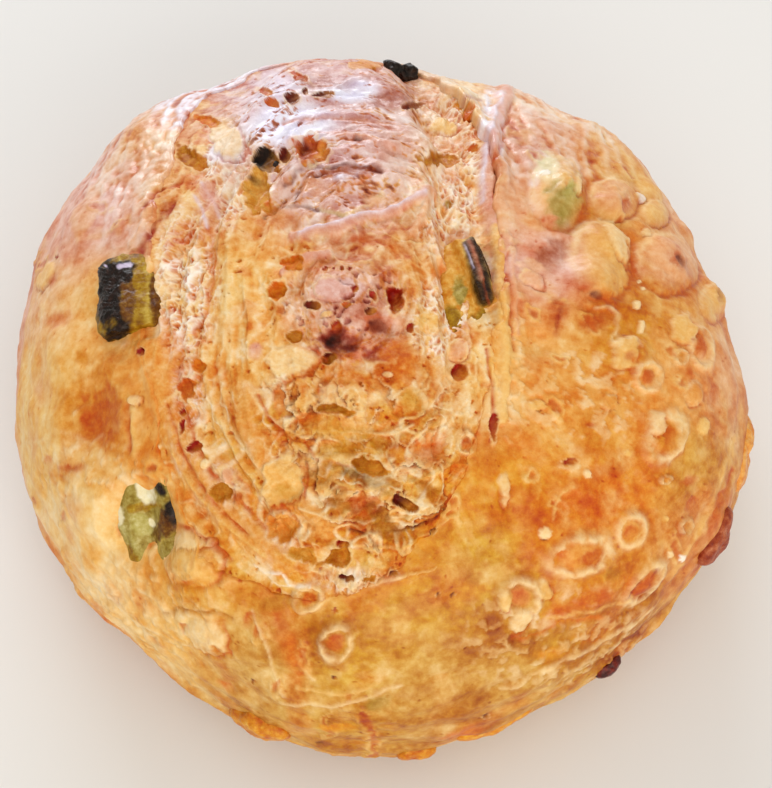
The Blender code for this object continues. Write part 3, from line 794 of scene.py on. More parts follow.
def crumb_form(points, rim):
    """Height of the crumb's coarse surface: its band, flap, strands and knob."""
    off_knob = smooth_step(knob_distance(points), KNOB_CORE, KNOB_RADIUS)
    height = torn_relief(points, rim, BAND_DEPTH * tear_share(points), off_knob)
    return height + dough_grain(points, rim) + swell_and_sink(points, CRUMB_HOLLOW_SHARE)


# ---------------------------------------------------------------- where the camera sees a point

RISE = math.radians(CAMERA_ELEVATION)
CAMERA_RIGHT = np.array([1.0, 0.0, 0.0])
CAMERA_UP = np.array([0.0, math.sin(RISE), math.cos(RISE)])
CAMERA_BACK = np.array([0.0, -math.cos(RISE), math.sin(RISE)])
CAMERA_EYE = np.array(CAMERA_TARGET) + CAMERA_BACK * CAMERA_DISTANCE
FOCAL_PIXELS = CAMERA_LENS / CAMERA_SENSOR * max(PICTURE_WIDTH, PICTURE_HEIGHT)
PIXELS_PER_MM = 3.5


def in_picture(points):
    """Where points in mm show in the picture, in pixels."""
    offset = (points + (*SHIFT, 0)) * MM - CAMERA_EYE
    depth = -offset @ CAMERA_BACK
    x = PICTURE_WIDTH / 2 + FOCAL_PIXELS * (offset @ CAMERA_RIGHT) / depth
    y = PICTURE_HEIGHT / 2 - FOCAL_PIXELS * (offset @ CAMERA_UP) / depth
    return x, y


def facing(base):
    """1 where the smooth loaf faces the camera and 0 where it turns away."""
    flat = np.maximum(np.hypot(base[:, 0], base[:, 1]), 1e-6)
    ring = ring_radius(np.arctan2(base[:, 1], base[:, 0]))
    rise = base[:, 2] - WAIST
    power = np.where(rise > 0, DOME_POWER, TUCK_POWER)
    half_height = np.where(rise > 0, HEIGHT - WAIST, TUCK_DEPTH)
    outwards = (flat / ring) ** (power - 1) / ring
    upwards = np.sign(rise) * (np.abs(rise) / half_height) ** (power - 1) / half_height
    sideways = base[:, :2] / flat[:, None] * outwards[:, None]
    normal = unit(np.concatenate([sideways, upwards[:, None]], axis=1))
    to_eye = unit(CAMERA_EYE - base * MM)
    return smooth_step(np.einsum("ij,ij->i", normal, to_eye), -0.02, 0.08)


def oval(x, y, middle_x, middle_y, half_x, half_y, turn=0):
    """0 at the middle of an oval in the picture and 1 at its edge."""
    cos, sin = math.cos(math.radians(turn)), math.sin(math.radians(turn))
    across, down = x - middle_x, y - middle_y
    return np.hypot((across * cos - down * sin) / half_x, (across * sin + down * cos) / half_y)


def patch(seen, *place_in_picture):
    """1 in an oval of the picture and 0 outside it, with a wide soft edge."""
    return seen.facing * (1 - smooth_step(oval(seen.x, seen.y, *place_in_picture), 0.6, 1.3))


# Where the camera sees each point of a surface, and 1 where the point faces it
Seen = collections.namedtuple("Seen", "x y facing")


# ---------------------------------------------------------------- colour

MIRRORED = 0.03         # light that the surface mirrors over its own colour
KEPT_COLOUR = 0.2       # least share of a colour that is left without that light
TONE_STRENGTH = 1.35
TONE_LIMIT = 1.4


def linear(name):
    """The surface's own colour, whose look under the lights is the palette's."""
    value = np.array(PALETTE[name]) / 255
    seen = np.where(value > 0.04045, ((value + 0.055) / 1.055) ** 2.4, value / 12.92)
    return np.maximum(seen - MIRRORED, KEPT_COLOUR * seen)


def mix(colour, other, share):
    return colour + (np.asarray(other) - colour) * np.asarray(share)[:, None]


def toned(colour, tone):
    """The colour paler for a negative tone and deeper for a positive one."""
    return colour ** (2.0 ** tone)[:, None]


def average(zones, weigh):
    """Mean of the zones' colours, each with its own weight at every point."""
    total, weights = 0.0, 0.0
    for colour, places in zones.items():
        for zone_place in places:
            weight = weigh(*zone_place) + LEAST_WEIGHT
            total = total + weight[:, None] * linear(colour)
            weights = weights + weight
    return total / weights[:, None]


def zone_colour(base, seen):
    """Colour that drifts from zone to zone, in the picture and where it doesn't reach."""
    drift = fractal(base, *ZONE_NOISE)
    x, y = seen.x + ZONE_WANDER * drift, seen.y - ZONE_WANDER * drift
    shown = average(ZONES, lambda middle_x, middle_y: np.exp(
        -((x - middle_x) ** 2 + (y - middle_y) ** 2) / (2 * ZONE_PIXELS ** 2)))
    hidden = average(HIDDEN_ZONES, lambda azimuth, tilt: bell(
        distance_from(azimuth, tilt, base), 0, ZONE_SIZE))
    return mix(hidden, shown, seen.facing * smooth_step(seen.facing + 0.4 * drift, 0.2, 0.9))


# ---------------------------------------------------------------- marks and lines

class Surface:
    """Fine height in mm, tone and colour at each point of a coarse surface."""

    def __init__(self, base, seen, colour):
        self.base = base
        self.seen = seen
        self.colour = colour
        self.height = np.zeros(len(base))
        self.tone = np.zeros(len(base))

    def shade(self, height, tone):
        self.height += height
        self.tone += tone

    def blend(self, name, share):
        self.colour = mix(self.colour, linear(name), np.clip(share, 0, 1))

    def settle_tone(self):
        """Puts the tone into the colour."""
        tone = np.clip(TONE_STRENGTH * self.tone, -TONE_LIMIT, TONE_LIMIT)
        self.colour = toned(self.colour, tone)
        self.tone[:] = 0

    def lay(self, near, height, name, share, smoothing=0):
        """Adds height and colour at some of the points, and smooths out what is under them."""
        facing = self.seen.facing[near]
        self.height[near] = self.height[near] * (1 - smoothing * facing) + height * facing
        self.colour[near] = mix(self.colour[near], linear(name), np.clip(share, 0, 1) * facing)


def ring_mark(away, size):
    rim = bell(away, 0.86, 0.18)
    middle = 1 - smooth_step(away, 0.35, 0.6)
    return 0.9 * rim + 0.2 * middle - 0.25 * bell(away, 1.3, 0.14), 0.92 * middle, 0.85 * rim, 0.5


def pit_mark(away, size):
    opened = 1 - smooth_step(away, 0.6, 0.95)
    stained = 1 - smooth_step(away, 0.92, 1.06)      # the colour runs up over the pit's walls
    rim = bell(away, 1.16, 0.12)
    depth = min(0.45 * size, 2.2)
    return 0.25 * rim - depth * opened, 0.95 * stained, 0.5 * rim, 0.6 * opened


def dome_mark(away, size):
    foot = bell(away, 1.08, 0.12)
    lift = min(0.35 * size, 2.0)
    return lift * dome(away, 1.0) - 0.3 * foot, 0.6 * (1 - smooth_step(away, 0.5, 1.0)), 0.0, 0.0


def pearl_mark(away, size):
    ball = np.sqrt(np.clip(1 - away ** 2, 0, 1))
    foot = bell(away, 1.25, 0.14)
    return 0.75 * size * ball - 0.15 * foot, 0.95 * (1 - smooth_step(away, 0.85, 1.05)), 0.0, 0.0


# Where a flat mark's edge begins and ends, its height in mm, the middle, width and depth of the
# dip round it, its share of colour, and how much it smooths out
FLAT_MARKS = {
    "spot": (0.35, 1.1, -0.2, 1.0, 1.0, 0.0, 0.85, 0.3),
    "flake": (0.72, 1.0, 0.5, 1.12, 0.12, 0.25, 0.7, 0.3),
    "facet": (0.85, 1.0, 0.6, 1.08, 0.1, 0.15, 0.72, 0.7),
    "stain": (0.65, 1.1, 0.0, 1.0, 1.0, 0.0, 1.0, 0.0),
}


def flat_mark(look):
    """The profile of a flat mark."""
    begin, end, height, middle, width, depth, share, smoothing = FLAT_MARKS[look]

    def profile(away, size):
        flat = 1 - smooth_step(away, begin, end)
        return height * flat - depth * bell(away, middle, width), share * flat, 0.0, smoothing * flat

    return profile


# Each look's profile, and how ragged its edge is. A profile takes the distance from the middle,
# 1 at the edge, and the size in mm. It gives the height, the share of colour, the share of pale
# colour on the rim, and how much of the detail under it is smoothed out.
MARK_LOOKS = {
    "ring": (ring_mark, 0.17), "pit": (pit_mark, 0.55), "spot": (flat_mark("spot"), 0.5),
    "dome": (dome_mark, 0.1), "pearl": (pearl_mark, 0.06), "flake": (flat_mark("flake"), 0.36),
    "facet": (flat_mark("facet"), 0.32), "stain": (flat_mark("stain"), 0.4),
}
SHADED_MARKS = ("pit", "ring", "spot")      # darker at the upper left, where they are in shadow
RIMMED_MARKS = ("pit", "ring")
RAISED_MARKS = ("facet", "flake", "dome")   # lit at the upper left, in shadow at the lower right
PALE_RIM, LIT_EDGE, SHADOW_EDGE = "cream", "cream", "rust"
PIT_GROUND = "amber"                        # the colour of a pit's lit side
MARK_REACH = 1.6                            # how far a mark goes, in its larger half size
FACET_TILT = 0.4                            # drop across a facet, in its smaller half size
RAG_NOISE = (4.2, 3, 311)                   # size in mm, octaves and seed
LINE_WANDER_NOISE = (7, 3, 312)
LINE_WANDER = 3.0                           # pixels
LINE_BREAK_NOISE = (4, 2, 313)
THIN = 2                                    # squareness of the lines that break here and there
# Each line look's height in mm, share of colour, squareness of its section, and smoothing
LINE_LOOKS = {
    "ridge": (0.5, 0.75, 2, 0.0), "crease": (-0.6, 0.95, 2, 0.0), "streak": (-0.1, 0.8, 2, 0.3),
    "strand": (1.3, 0.75, 4, 0.75), "bar": (0.4, 0.97, 8, 0.3),
}


def lay_marks(surface, marks):
    ragged = fractal(surface.base, *RAG_NOISE)
    for look, colour, *ovals in marks:
        for placing in ovals:
            lay_mark(surface, ragged, look, colour, placing)


def lay_mark(surface, ragged, look, colour, placing):
    """Lays one mark, with its edges lit from the upper left."""
    profile, raggedness = MARK_LOOKS[look]
    x, y, half_x, half_y = placing[:4]
    reach = MARK_REACH * max(half_x, half_y)
    off_x, off_y = surface.seen.x - x, surface.seen.y - y
    near = np.nonzero(
        (np.abs(off_x) < reach) & (np.abs(off_y) < reach) & (surface.seen.facing > 0)
    )[0]
    rags, slope = ragged[near], (off_x + off_y)[near] / reach
    away = oval(surface.seen.x[near], surface.seen.y[near], *placing) + raggedness * rags
    size = min(half_x, half_y) / PIXELS_PER_MM
    height, share, pale, smoothing = profile(np.maximum(away, 0), size)
    if look == "pit":
        surface.lay(near, 0.0, PIT_GROUND, share)
    if look == "facet":
        height = height - FACET_TILT * size * slope * smoothing
    if look in SHADED_MARKS:
        share = share * np.clip(0.8 - 0.8 * slope + 0.3 * rags, 0.2, 1.1)
    surface.lay(near, height, colour, share, smoothing)
    if look in RIMMED_MARKS:
        surface.lay(near, 0.0, PALE_RIM, pale * np.clip(0.8 + 1.1 * rags, 0.1, 1))
    if look in RAISED_MARKS:
        shadow = bell(away, 1.07, 0.09) * np.clip(0.3 + 1.2 * slope, 0, 1)
        lit = bell(away, 0.9, 0.1) * np.clip(0.2 - 1.2 * slope, 0, 1)
        surface.lay(near, -0.5 * shadow, SHADOW_EDGE, 0.75 * shadow)
        surface.lay(near, 0.0, LIT_EDGE, 0.6 * lit)


def line_distance(x, y, points):
    """Distance in pixels from a line of straight runs."""
    nearest = np.full(len(x), np.inf)
    for (x0, y0), (x1, y1) in itertools.pairwise(points):
        run_x, run_y = x1 - x0, y1 - y0
        t = np.clip(((x - x0) * run_x + (y - y0) * run_y) / (run_x ** 2 + run_y ** 2), 0, 1)
        nearest = np.minimum(nearest, np.hypot(x - x0 - t * run_x, y - y0 - t * run_y))
    return nearest


def lay_lines(surface, lines):
    seen = surface.seen
    wander = LINE_WANDER * fractal(surface.base, *LINE_WANDER_NOISE)
    broken = 0.75 + 0.5 * fractal(surface.base, *LINE_BREAK_NOISE)
    for look, colour, *runs in lines:
        lift, share, squareness, smoothing = LINE_LOOKS[look]
        for half_width, *points in runs:
            columns, rows = zip(*points)
            margin = 4 * half_width + 6
            near = np.nonzero(
                (seen.x > min(columns) - margin) & (seen.x < max(columns) + margin)
                & (seen.y > min(rows) - margin) & (seen.y < max(rows) + margin) & (seen.facing > 0)
            )[0]
            away = line_distance(seen.x[near] + wander[near], seen.y[near] + wander[near], points)
            profile = np.exp(-((away / half_width) ** squareness))
            if squareness == THIN:
                profile *= np.clip(broken[near], 0, 1)
            surface.lay(near, lift * profile, colour, share * profile, smoothing * profile)


# ---------------------------------------------------------------- fine relief of the crust

# Ovals of the picture where the crust is flaky and pale: middle and half sizes, in pixels
FLAKY_PATCHES = (
    (580, 395, 70, 45), (90, 470, 60, 30), (150, 610, 80, 60),
    (560, 640, 100, 50), (505, 330, 22, 110),
)
GLOSSY_PATCHES = ((150, 150, 90, 90), (330, 120, 190, 100), (560, 130, 80, 60))
# Where glare is painted on the glossy skin and crust, as a reflection of the window
SHEEN_PATCHES = (
    (245, 84, 60, 20), (285, 125, 52, 24), (350, 92, 30, 10), (188, 108, 34, 24),
    (225, 165, 18, 26), (492, 130, 12, 45), (335, 288, 26, 13),
)
LIP_GRAIN, LIP_GRAIN_WIDTH = 0.15, 5.0
# Wide drifts of colour: colour, strength, and size in mm, octaves, seed and limits of their noise
CRUST_DRIFTS = (("orange", 0.3, 15, 3, 322, 0.1, 0.6), ("straw", 0.28, 12, 3, 323, 0.15, 0.6))
CRUMB_DRIFTS = (("orange", 0.5, 9, 3, 437, 0.1, 0.5), ("straw", 0.4, 7, 3, 438, 0.15, 0.5))
# Noises: size in mm, octaves and seed, and the limits where they make blotches
CRUST_LUMPS, CRUST_WRINKLES = (9, 3, 321), (2.6, 2, 331)
CRUST_FLAKES, CRUST_SPECKS = (3.6, 3, 341, 0.1, 0.3), (1.4, 2, 361, 0.72, 0.95)
BLISTER_SIZE, BLISTER_SEED = 11, 351
GLOSSY_FOLD_SPACING, GLOSSY_FOLD_SEED = 3.6, 371
RAG_SPACING, RAG_SEED = 1.6, 372
RIM_STRETCH = 26        # mm along the tear to a cell of noise


def covered(seen, patches):
    return np.clip(sum(patch(seen, *place_in_picture) for place_in_picture in patches), 0, 1)


def blend_drifts(surface, drifts, share=1.0):
    for colour, strength, *noise in drifts:
        surface.blend(colour, strength * blotches(surface.base, *noise) * share)


def along_rim(base, rim, spacing):
    """Noise places stretched along the tear."""
    return np.stack([rim / spacing, *(base[:, :2].T / RIM_STRETCH)], axis=1)


def detail_crust(surface, rim):
    """Lumps, folds, flakes, blisters and specks of the crust."""
    base = surface.base
    lumps = fractal(base, *CRUST_LUMPS)
    wrinkles = fractal(base, *CRUST_WRINKLES)
    # Raised lumps are deeper in colour, and raised wrinkles paler, a painted highlight on the wrinkles.
    surface.shade(0.35 * lumps + 0.12 * wrinkles, 0.48 * lumps - 0.22 * wrinkles)
    blend_drifts(surface, CRUST_DRIFTS)
    flaky = covered(surface.seen, FLAKY_PATCHES)
    flakes = blotches(base, *CRUST_FLAKES)
    surface.shade(0.4 * flakes * (0.15 + flaky), 0.0)
    surface.blend("cream", flakes * (0.05 + 0.38 * flaky))
    x, y = base[:, 0] / BLISTER_SIZE + 0.3 * lumps, base[:, 1] / BLISTER_SIZE - 0.3 * lumps
    near, _, number = bubbles(x, y, BLISTER_SEED)
    blister = smooth_step(number, 0.78, 0.83) * (1 - covered(surface.seen, SHEEN_PATCHES))
    rim_of_blister, middle = bell(near, 0.17, 0.045), 1 - smooth_step(near, 0.06, 0.14)
    surface.shade(0.45 * blister * rim_of_blister, 0.0)
    surface.blend("straw", 0.6 * blister * rim_of_blister)
    surface.blend("rust", 0.6 * blister * middle)
    specks = blotches(base, *CRUST_SPECKS)
    surface.shade(-0.15 * specks, 0.6 * specks)
    beside_rim = along_rim(base, rim_distance(base), GLOSSY_FOLD_SPACING) + 0.3 * lumps[:, None]
    folds = ridges(beside_rim, GLOSSY_FOLD_SEED) + 0.6 * wrinkles
    glossy = covered(surface.seen, GLOSSY_PATCHES)
    # Painted light on the glossy folds: crests paler with glare as a painted highlight, troughs rust as
    # painted shade.
    surface.shade(0.35 * glossy * folds, -0.4 * glossy * folds)
    surface.blend("rust", 0.35 * glossy * smooth_step(-folds, -0.2, 0.8))
    sheen = np.maximum(covered(surface.seen, SHEEN_PATCHES), 0.12 * glossy)
    surface.blend("glare", 0.8 * sheen * smooth_step(folds, -0.1, 0.9))
    rags = gradient_noise(along_rim(base, rim, RAG_SPACING), RAG_SEED)
    surface.shade(LIP_GRAIN * bell(rim, 0, LIP_GRAIN_WIDTH) * rags, 0.0)


# ---------------------------------------------------------------- fine relief of the crumb

# Ovals of the picture where the crumb is of one kind: middle and half sizes, in pixels
SKIN = (335, 140, 115, 88)
KNOB_SKIN = (348, 312, 62, 50)
SMOOTH_DOUGH = (248, 320, 40, 78)
LACE_PATCHES = ((186, 285, 30, 72), (228, 175, 32, 50), (446, 165, 40, 85), (440, 320, 30, 40))
SPONGE_PATCHES = (
    (187, 412, 17, 60), (218, 488, 22, 26), (357, 580, 42, 13), (288, 526, 20, 22), (300, 300, 20, 24),
)
TORN_PATCHES = ((360, 480, 135, 108), (275, 430, 60, 80))
BAND_STRANDS = ((215, 460, 60, 120), (480, 440, 32, 110), (290, 560, 80, 34))


def round_knob(ring, turn, spacing, along):
    """Noise places stretched along the rings round the knob."""
    spread = along * np.minimum(ring / KNOB_RADIUS, 1)
    return np.stack([ring / spacing, spread * np.cos(turn), spread * np.sin(turn)], axis=1)


# Noises as for the crust
SKIN_WARP, SKIN_GRAIN = (12, 3, 401), (1.8, 3, 407)
SKIN_SWELLS, SKIN_STAINS = (16, 2, 404, -0.5, 0.5), (9, 3, 405, 0.05, 0.5)
SKIN_BANDS, SKIN_BANDS_SEED = (8, 2.5), 408       # spacing in mm, and breaks round the knob
# Spacing in mm, breaks round the knob, warping, seed, height in mm, and weight in the colour
SKIN_FOLDS = (
    (5.2, 1.8, 1, 402, 0.7, 0.5), (2.1, 3.6, 2, 403, 0.25, 0.7), (0.9, 6.0, 4, 406, 0.12, 1.2),
)


def detail_skin(surface, share, ring, turn):
    """Glossy skin whose long folds and fine streaks run round the knob."""
    base = surface.base
    warp = 0.4 * fractal(base, *SKIN_WARP)[:, None]
    height = 0.0
    level = gradient_noise(round_knob(ring, turn, *SKIN_BANDS), SKIN_BANDS_SEED)
    level = level + 1.1 * fractal(base, *SKIN_GRAIN)
    for spacing, along, warping, seed, rise, weight in SKIN_FOLDS:
        fold = ridges(round_knob(ring, turn, spacing, along) + warping * warp, seed)
        height = height + rise * fold
        level = level + weight * fold
    uneven = 0.5 + 0.9 * blotches(base, *SKIN_SWELLS)
    surface.shade(share * uneven * height, 0.0)
    surface.blend("gold", 0.35 * share * blotches(base, *SKIN_STAINS))
    # Plum and umber where the folds and streaks sink, partly painted shade in the troughs; glare where
    # they rise, a painted highlight.
    surface.blend("plum", 0.85 * share * smooth_step(-level, -0.25, 0.5))
    surface.blend("umber", 0.8 * share * smooth_step(-level, 0.5, 1.5))
    patched = covered(surface.seen, SHEEN_PATCHES)
    sheen = share * (0.4 + 0.6 * patched)
    surface.blend("glare", sheen * smooth_step(level + 0.6 * patched, 0.15, 0.75))


def wisps(base, size, seed):
    """Thin curved lines, 1 at their middle, broken here and there."""
    warp = 0.5 * fractal(base, 2 * size, 2, seed)[:, None]
    lines = smooth_step(ridges(base / size + warp, seed + 1, 6.5), 0.0, 0.8)
    return lines * blotches(base, 1.5 * size, 2, seed + 2, -0.2, 0.2)


LACE_WARP, LACE_WISPS = (7, 3, 411), (4.0, 415)
# Size and depth in mm, share of closed ones, colour and seed
LACE_BUBBLES = (
    (5.5, 0.9, 0.5, "gold", 412), (2.6, 0.5, 0.4, "orange", 413), (1.3, 0.3, 0.3, "rust", 414),
)


def detail_lace(surface, share):
    """A web of pale walls round small openings, and a few larger ones."""
    base = surface.base
    warp = 0.7 * fractal(base, *LACE_WARP)
    surface.blend("cream", 0.4 * share)
    for size, depth, closed, colour, seed in LACE_BUBBLES:
        near, second, number = bubbles(base[:, 0] / size + warp, base[:, 1] / (1.7 * size) + warp, seed)
        opened = share * smooth_step(number, closed, closed + 0.2) * smooth_step(second - near, 0.1, 0.5)
        wall = share * bell(second - near, 0.0, 0.14) * smooth_step(number, 0.15, 0.4)
        surface.shade(-depth * opened + 0.2 * depth * wall, 0.0)
        surface.blend(colour, 0.8 * opened)
        surface.blend("white", 0.75 * wall)
    surface.blend("white", 0.6 * share * wisps(base, *LACE_WISPS))


# Size in mm, scales to a radian round the knob, strength of their colours, and seed
SCALES = ((5.2, 3.6, 0.5, 425), (2.6, 8.0, 0.32, 427))
# Spacing and height in mm, and seed
ARCS = ((10.0, 1.9, 421), (4.6, 0.8, 441))
ARC_WAVES = (30, 2.0)       # spacing in mm, and breaks round the knob
SCALE_WARP = (8, 3, 424)
SCALE_COLOURS = ("rust", "amber", "gold", "honey", "tan", "honey", "gold", "straw", "cream")


def detail_torn(surface, share, ring, turn):
    """Dough torn into scales, each with its own height and colour, and a few higher arcs."""
    base = surface.base
    bow = (turn + 1.5 * math.pi) % math.tau - math.pi     # 0 in front of the knob
    warp = 0.5 * fractal(base, *SCALE_WARP)
    colours = np.array([linear(name) for name in SCALE_COLOURS])
    for size, pitch, amount, seed in SCALES:
        near, second, number = bubbles(ring / size + warp, pitch * bow + warp, seed)
        own = colours[(number * len(colours)).astype(int).clip(0, len(colours) - 1)]
        edge = bell(second - near, 0.0, 0.09)
        # Higher scales are paler and low ones get rust edges: partly the dough's own colour, partly
        # painted light and shade on the steps.
        surface.shade(share * size * (0.18 * number + 0.06 * edge), 0.0)
        surface.colour = mix(surface.colour, own, amount * share)
        surface.blend("rust", 0.6 * share * edge * smooth_step(0.5 - number, 0.0, 0.1))
    for spacing, rise, seed in ARCS:
        wave = gradient_noise(round_knob(ring, turn, *ARC_WAVES), seed)
        phase = ring / spacing + 1.2 * wave + 0.45 * fractal(base, 0.8 * spacing, 4, seed + 1)
        climb = (phase - np.floor(phase)) ** 1.4
        strength = share * blotches(base, 1.4 * spacing, 2, seed + 2, -0.3, 0.4)
        surface.shade(strength * rise * climb, 0.0)
        # Each arc's crest is painted cream as a highlight, and its foot rust and umber as painted shade.
        surface.blend("cream", 0.7 * strength * smooth_step(climb, 0.7, 0.95))
        surface.blend("rust", 0.6 * strength * (1 - smooth_step(climb, 0.0, 0.3)))
        surface.blend("umber", 0.5 * strength * (1 - smooth_step(climb, 0.0, 0.1)))


CRUMB_LUMPS = (6.5, 3, 431)
CRUMBS, PORES, KNOB_PITS = (1.7, 2, 435, 0.35, 0.8), (1.9, 2, 436, 0.6, 0.85), (3.4, 3, 439, 0.5, 0.7)
FIBRES, FIBRE_SEEDS = (2.2, 3.5), (432, 433)      # spacing in mm, and breaks round the knob
BAND_STRAND_SPACING, BAND_STRAND_SEED, BAND_STRAND_NARROWNESS = 4.4, 434, 2.2
THREADS = ((9.0, 451), (5.0, 455))      # size in mm, and seed


def detail_crumb(surface, rim):
    """The crumb's skin, lace, scales and strands, each in its own parts of the picture."""
    base, seen = surface.base, surface.seen
    ring, turn = around_knob(base)
    knob = patch(seen, *KNOB_SKIN)
    skin = np.maximum(patch(seen, *SKIN), knob)
    lace = covered(seen, LACE_PATCHES) * (1 - skin)
    smooth = patch(seen, *SMOOTH_DOUGH) * (1 - lace)
    torn = covered(seen, TORN_PATCHES) * (1 - smooth) * (1 - skin)
    band = covered(seen, BAND_STRANDS)
    torn *= 1 - 0.7 * band
    detail_skin(surface, skin * (1 - 0.6 * knob), ring, turn)
    sponge = covered(seen, SPONGE_PATCHES) * (1 - skin)
    surface.blend("toast", 0.6 * sponge)
    detail_lace(surface, np.maximum(lace, 0.7 * sponge))
    detail_torn(surface, torn, ring, turn)
    lumps = fractal(base, *CRUMB_LUMPS)
    surface.shade((0.4 + 0.5 * knob) * lumps, 0.5 * lumps)
    fibre_place = round_knob(ring, turn, *FIBRES)
    coarse, fine = FIBRE_SEEDS
    fibres = gradient_noise(fibre_place, coarse) + 0.6 * gradient_noise(fibre_place * 2.1, fine)
    # Raised fibres are paler, a painted highlight on them.
    surface.shade(0.25 * fibres, -0.45 * fibres)
    beside_rim = along_rim(base, rim, BAND_STRAND_SPACING)
    strand = ridges(beside_rim, BAND_STRAND_SEED, BAND_STRAND_NARROWNESS)
    # Raised strands paler and their troughs rust: painted light and shade.
    surface.shade(0.5 * band * strand, -0.3 * band * strand)
    surface.blend("rust", 0.35 * band * smooth_step(-strand, 0.0, 0.8))
    # Raised crumbs paler and sunk pores deeper: painted light and shade on the fine relief.
    crumbs = blotches(base, *CRUMBS)
    surface.shade(0.2 * crumbs * (1 - 0.6 * skin), -0.3 * crumbs)
    pores = blotches(base, *PORES) * (1 - skin)
    surface.shade(-0.5 * pores, 0.8 * pores)
    blend_drifts(surface, CRUMB_DRIFTS, 1 - skin)
    for size, seed in THREADS:
        threads = wisps(base, size, seed) * (1 - skin) * (0.45 + 0.4 * torn)
        surface.shade(0.3 * threads, 0.0)
        surface.blend("cream", threads)
    pits = blotches(base, *KNOB_PITS) * knob
    surface.shade(-1.0 * pits, 0.0)
    surface.blend("red", 0.7 * pits)
    surface.shade(0, 0.35 * smooth_step(rim, -3.0, 0.0))     # painted shade, darker under the lip


def finished_surface(base, directions, coarse, rim, add_detail):
    """The coarse surface with its colours, its detail, and the lines and marks on it."""
    seen = Seen(*in_picture(base + directions * coarse[:, None]), facing(base))
    surface = Surface(base, seen, zone_colour(base, seen))
    add_detail(surface, rim)
    surface.settle_tone()
    lay_lines(surface, LINES)
    lay_marks(surface, MARKS)
    return surface


# ---------------------------------------------------------------- meshes

def add_object(name, data):
    made = bpy.data.objects.new(name, data)
    bpy.context.scene.collection.objects.link(made)
    return made


def make_mesh(name, points, faces):
    """An object from points in mm and faces, with the points kept inside the solids' box."""
    low, high = (np.array(corner) / MM for corner in CAD_BOX)
    mesh = bpy.data.meshes.new(name)
    mesh.from_pydata((np.clip(points, low, high) * MM).tolist(), [], faces)
    mesh.update()
    mesh.shade_smooth()
    return add_object(name, mesh)


def paint(made, colour, gloss):
    """Stores a colour and a gloss at each point for the material."""
    tint = made.data.attributes.new("tint", "FLOAT_COLOR", "POINT")
    rgba = np.ones((len(colour), 4), np.float32)
    rgba[:, :3] = np.clip(colour, 0.0, 1.0)
    tint.data.foreach_set("color", rgba.ravel())
    shine = made.data.attributes.new("gloss", "FLOAT", "POINT")
    shine.data.foreach_set("value", np.asarray(gloss, np.float32))


def grid_faces(rows, columns):
    """Quads of a grid of points, facing along rows x columns."""
    corner = (np.arange(rows - 1)[:, None] * columns + np.arange(columns - 1)).ravel()
    return np.stack([corner, corner + columns, corner + columns + 1, corner + 1], axis=1)


HALF_SPOKES = 480
SEAMS = {"crust_right": -100.0, "crust_left": 80.0}
SEAM_SINK = 0.03
RIM_ROWS = 150            # from the tear to just under the widest ring
UNDER_ROWS = 16           # from there to the edge of the base
BASE_ROWS = 7             # under the loaf
WAIST_TILT = 97.0
FOOT_TILT = 111.0
LAST_TILT = 179.5
ROW_CROWDING = 1.12       # crowds the rows towards the rim
# The lip's section from its crest into the opening and down: inwards and down, in mm
LIP_SECTION = ((0.7, 0.1), (1.3, 0.5), (1.5, 1.2), (1.1, 2.2), (0.4, 3.4), (-0.2, 5.0), (-0.4, 8.0))
LIP_SHADE_TONE = 0.25           # how much deeper the lip's inner side is coloured, as painted shade under its curl
CURL_WOBBLE = 0.5
CURL_SHARE = (0.3, 1.0)   # of the lip's reach, where the tear is nearly shut and where it gapes


def rim_tilts(azimuths):
    """Tilt of the tear's rim at each azimuth, found by halving."""
    low, high = np.full(len(azimuths), 8.0), np.full(len(azimuths), 88.0)
    for _ in range(24):
        middle = (low + high) / 2
        outside = torn_edge(smooth_loaf(towards(azimuths, middle))) > 0
        high = np.where(outside, middle, high)
        low = np.where(outside, low, middle)
    return high


def crust_grid(seam):
    """Azimuths of a half's spokes, their tilts at the rim, and all tilts from the rim down."""
    azimuths = seam + 180 / HALF_SPOKES * np.arange(-1, HALF_SPOKES + 2)
    rim_tilt = rim_tilts(azimuths)
    share = (np.arange(RIM_ROWS + 1) / RIM_ROWS) ** ROW_CROWDING
    outer = rim_tilt + (WAIST_TILT - rim_tilt) * share[:, None]
    lower = np.concatenate([
        np.linspace(WAIST_TILT, FOOT_TILT, UNDER_ROWS + 1)[1:],
        np.linspace(FOOT_TILT, LAST_TILT, BASE_ROWS + 1)[1:],
    ])
    below = np.broadcast_to(lower[:, None], (len(lower), len(azimuths)))
    return azimuths, rim_tilt, np.concatenate([outer, below])


def lip_rows(crest, crest_base, inwards, upwards):
    """Rows of points of the lip, from its end under the crumb to just inside its crest."""
    low_curl, high_curl = CURL_SHARE
    curl = low_curl + (high_curl - low_curl) * tear_share(crest_base)
    curl *= 1 + CURL_WOBBLE * fractal(crest_base, 9, 2, 441)
    return [
        crest + inwards * (reach * curl)[:, None] - upwards * drop
        for reach, drop in LIP_SECTION[::-1]
    ]


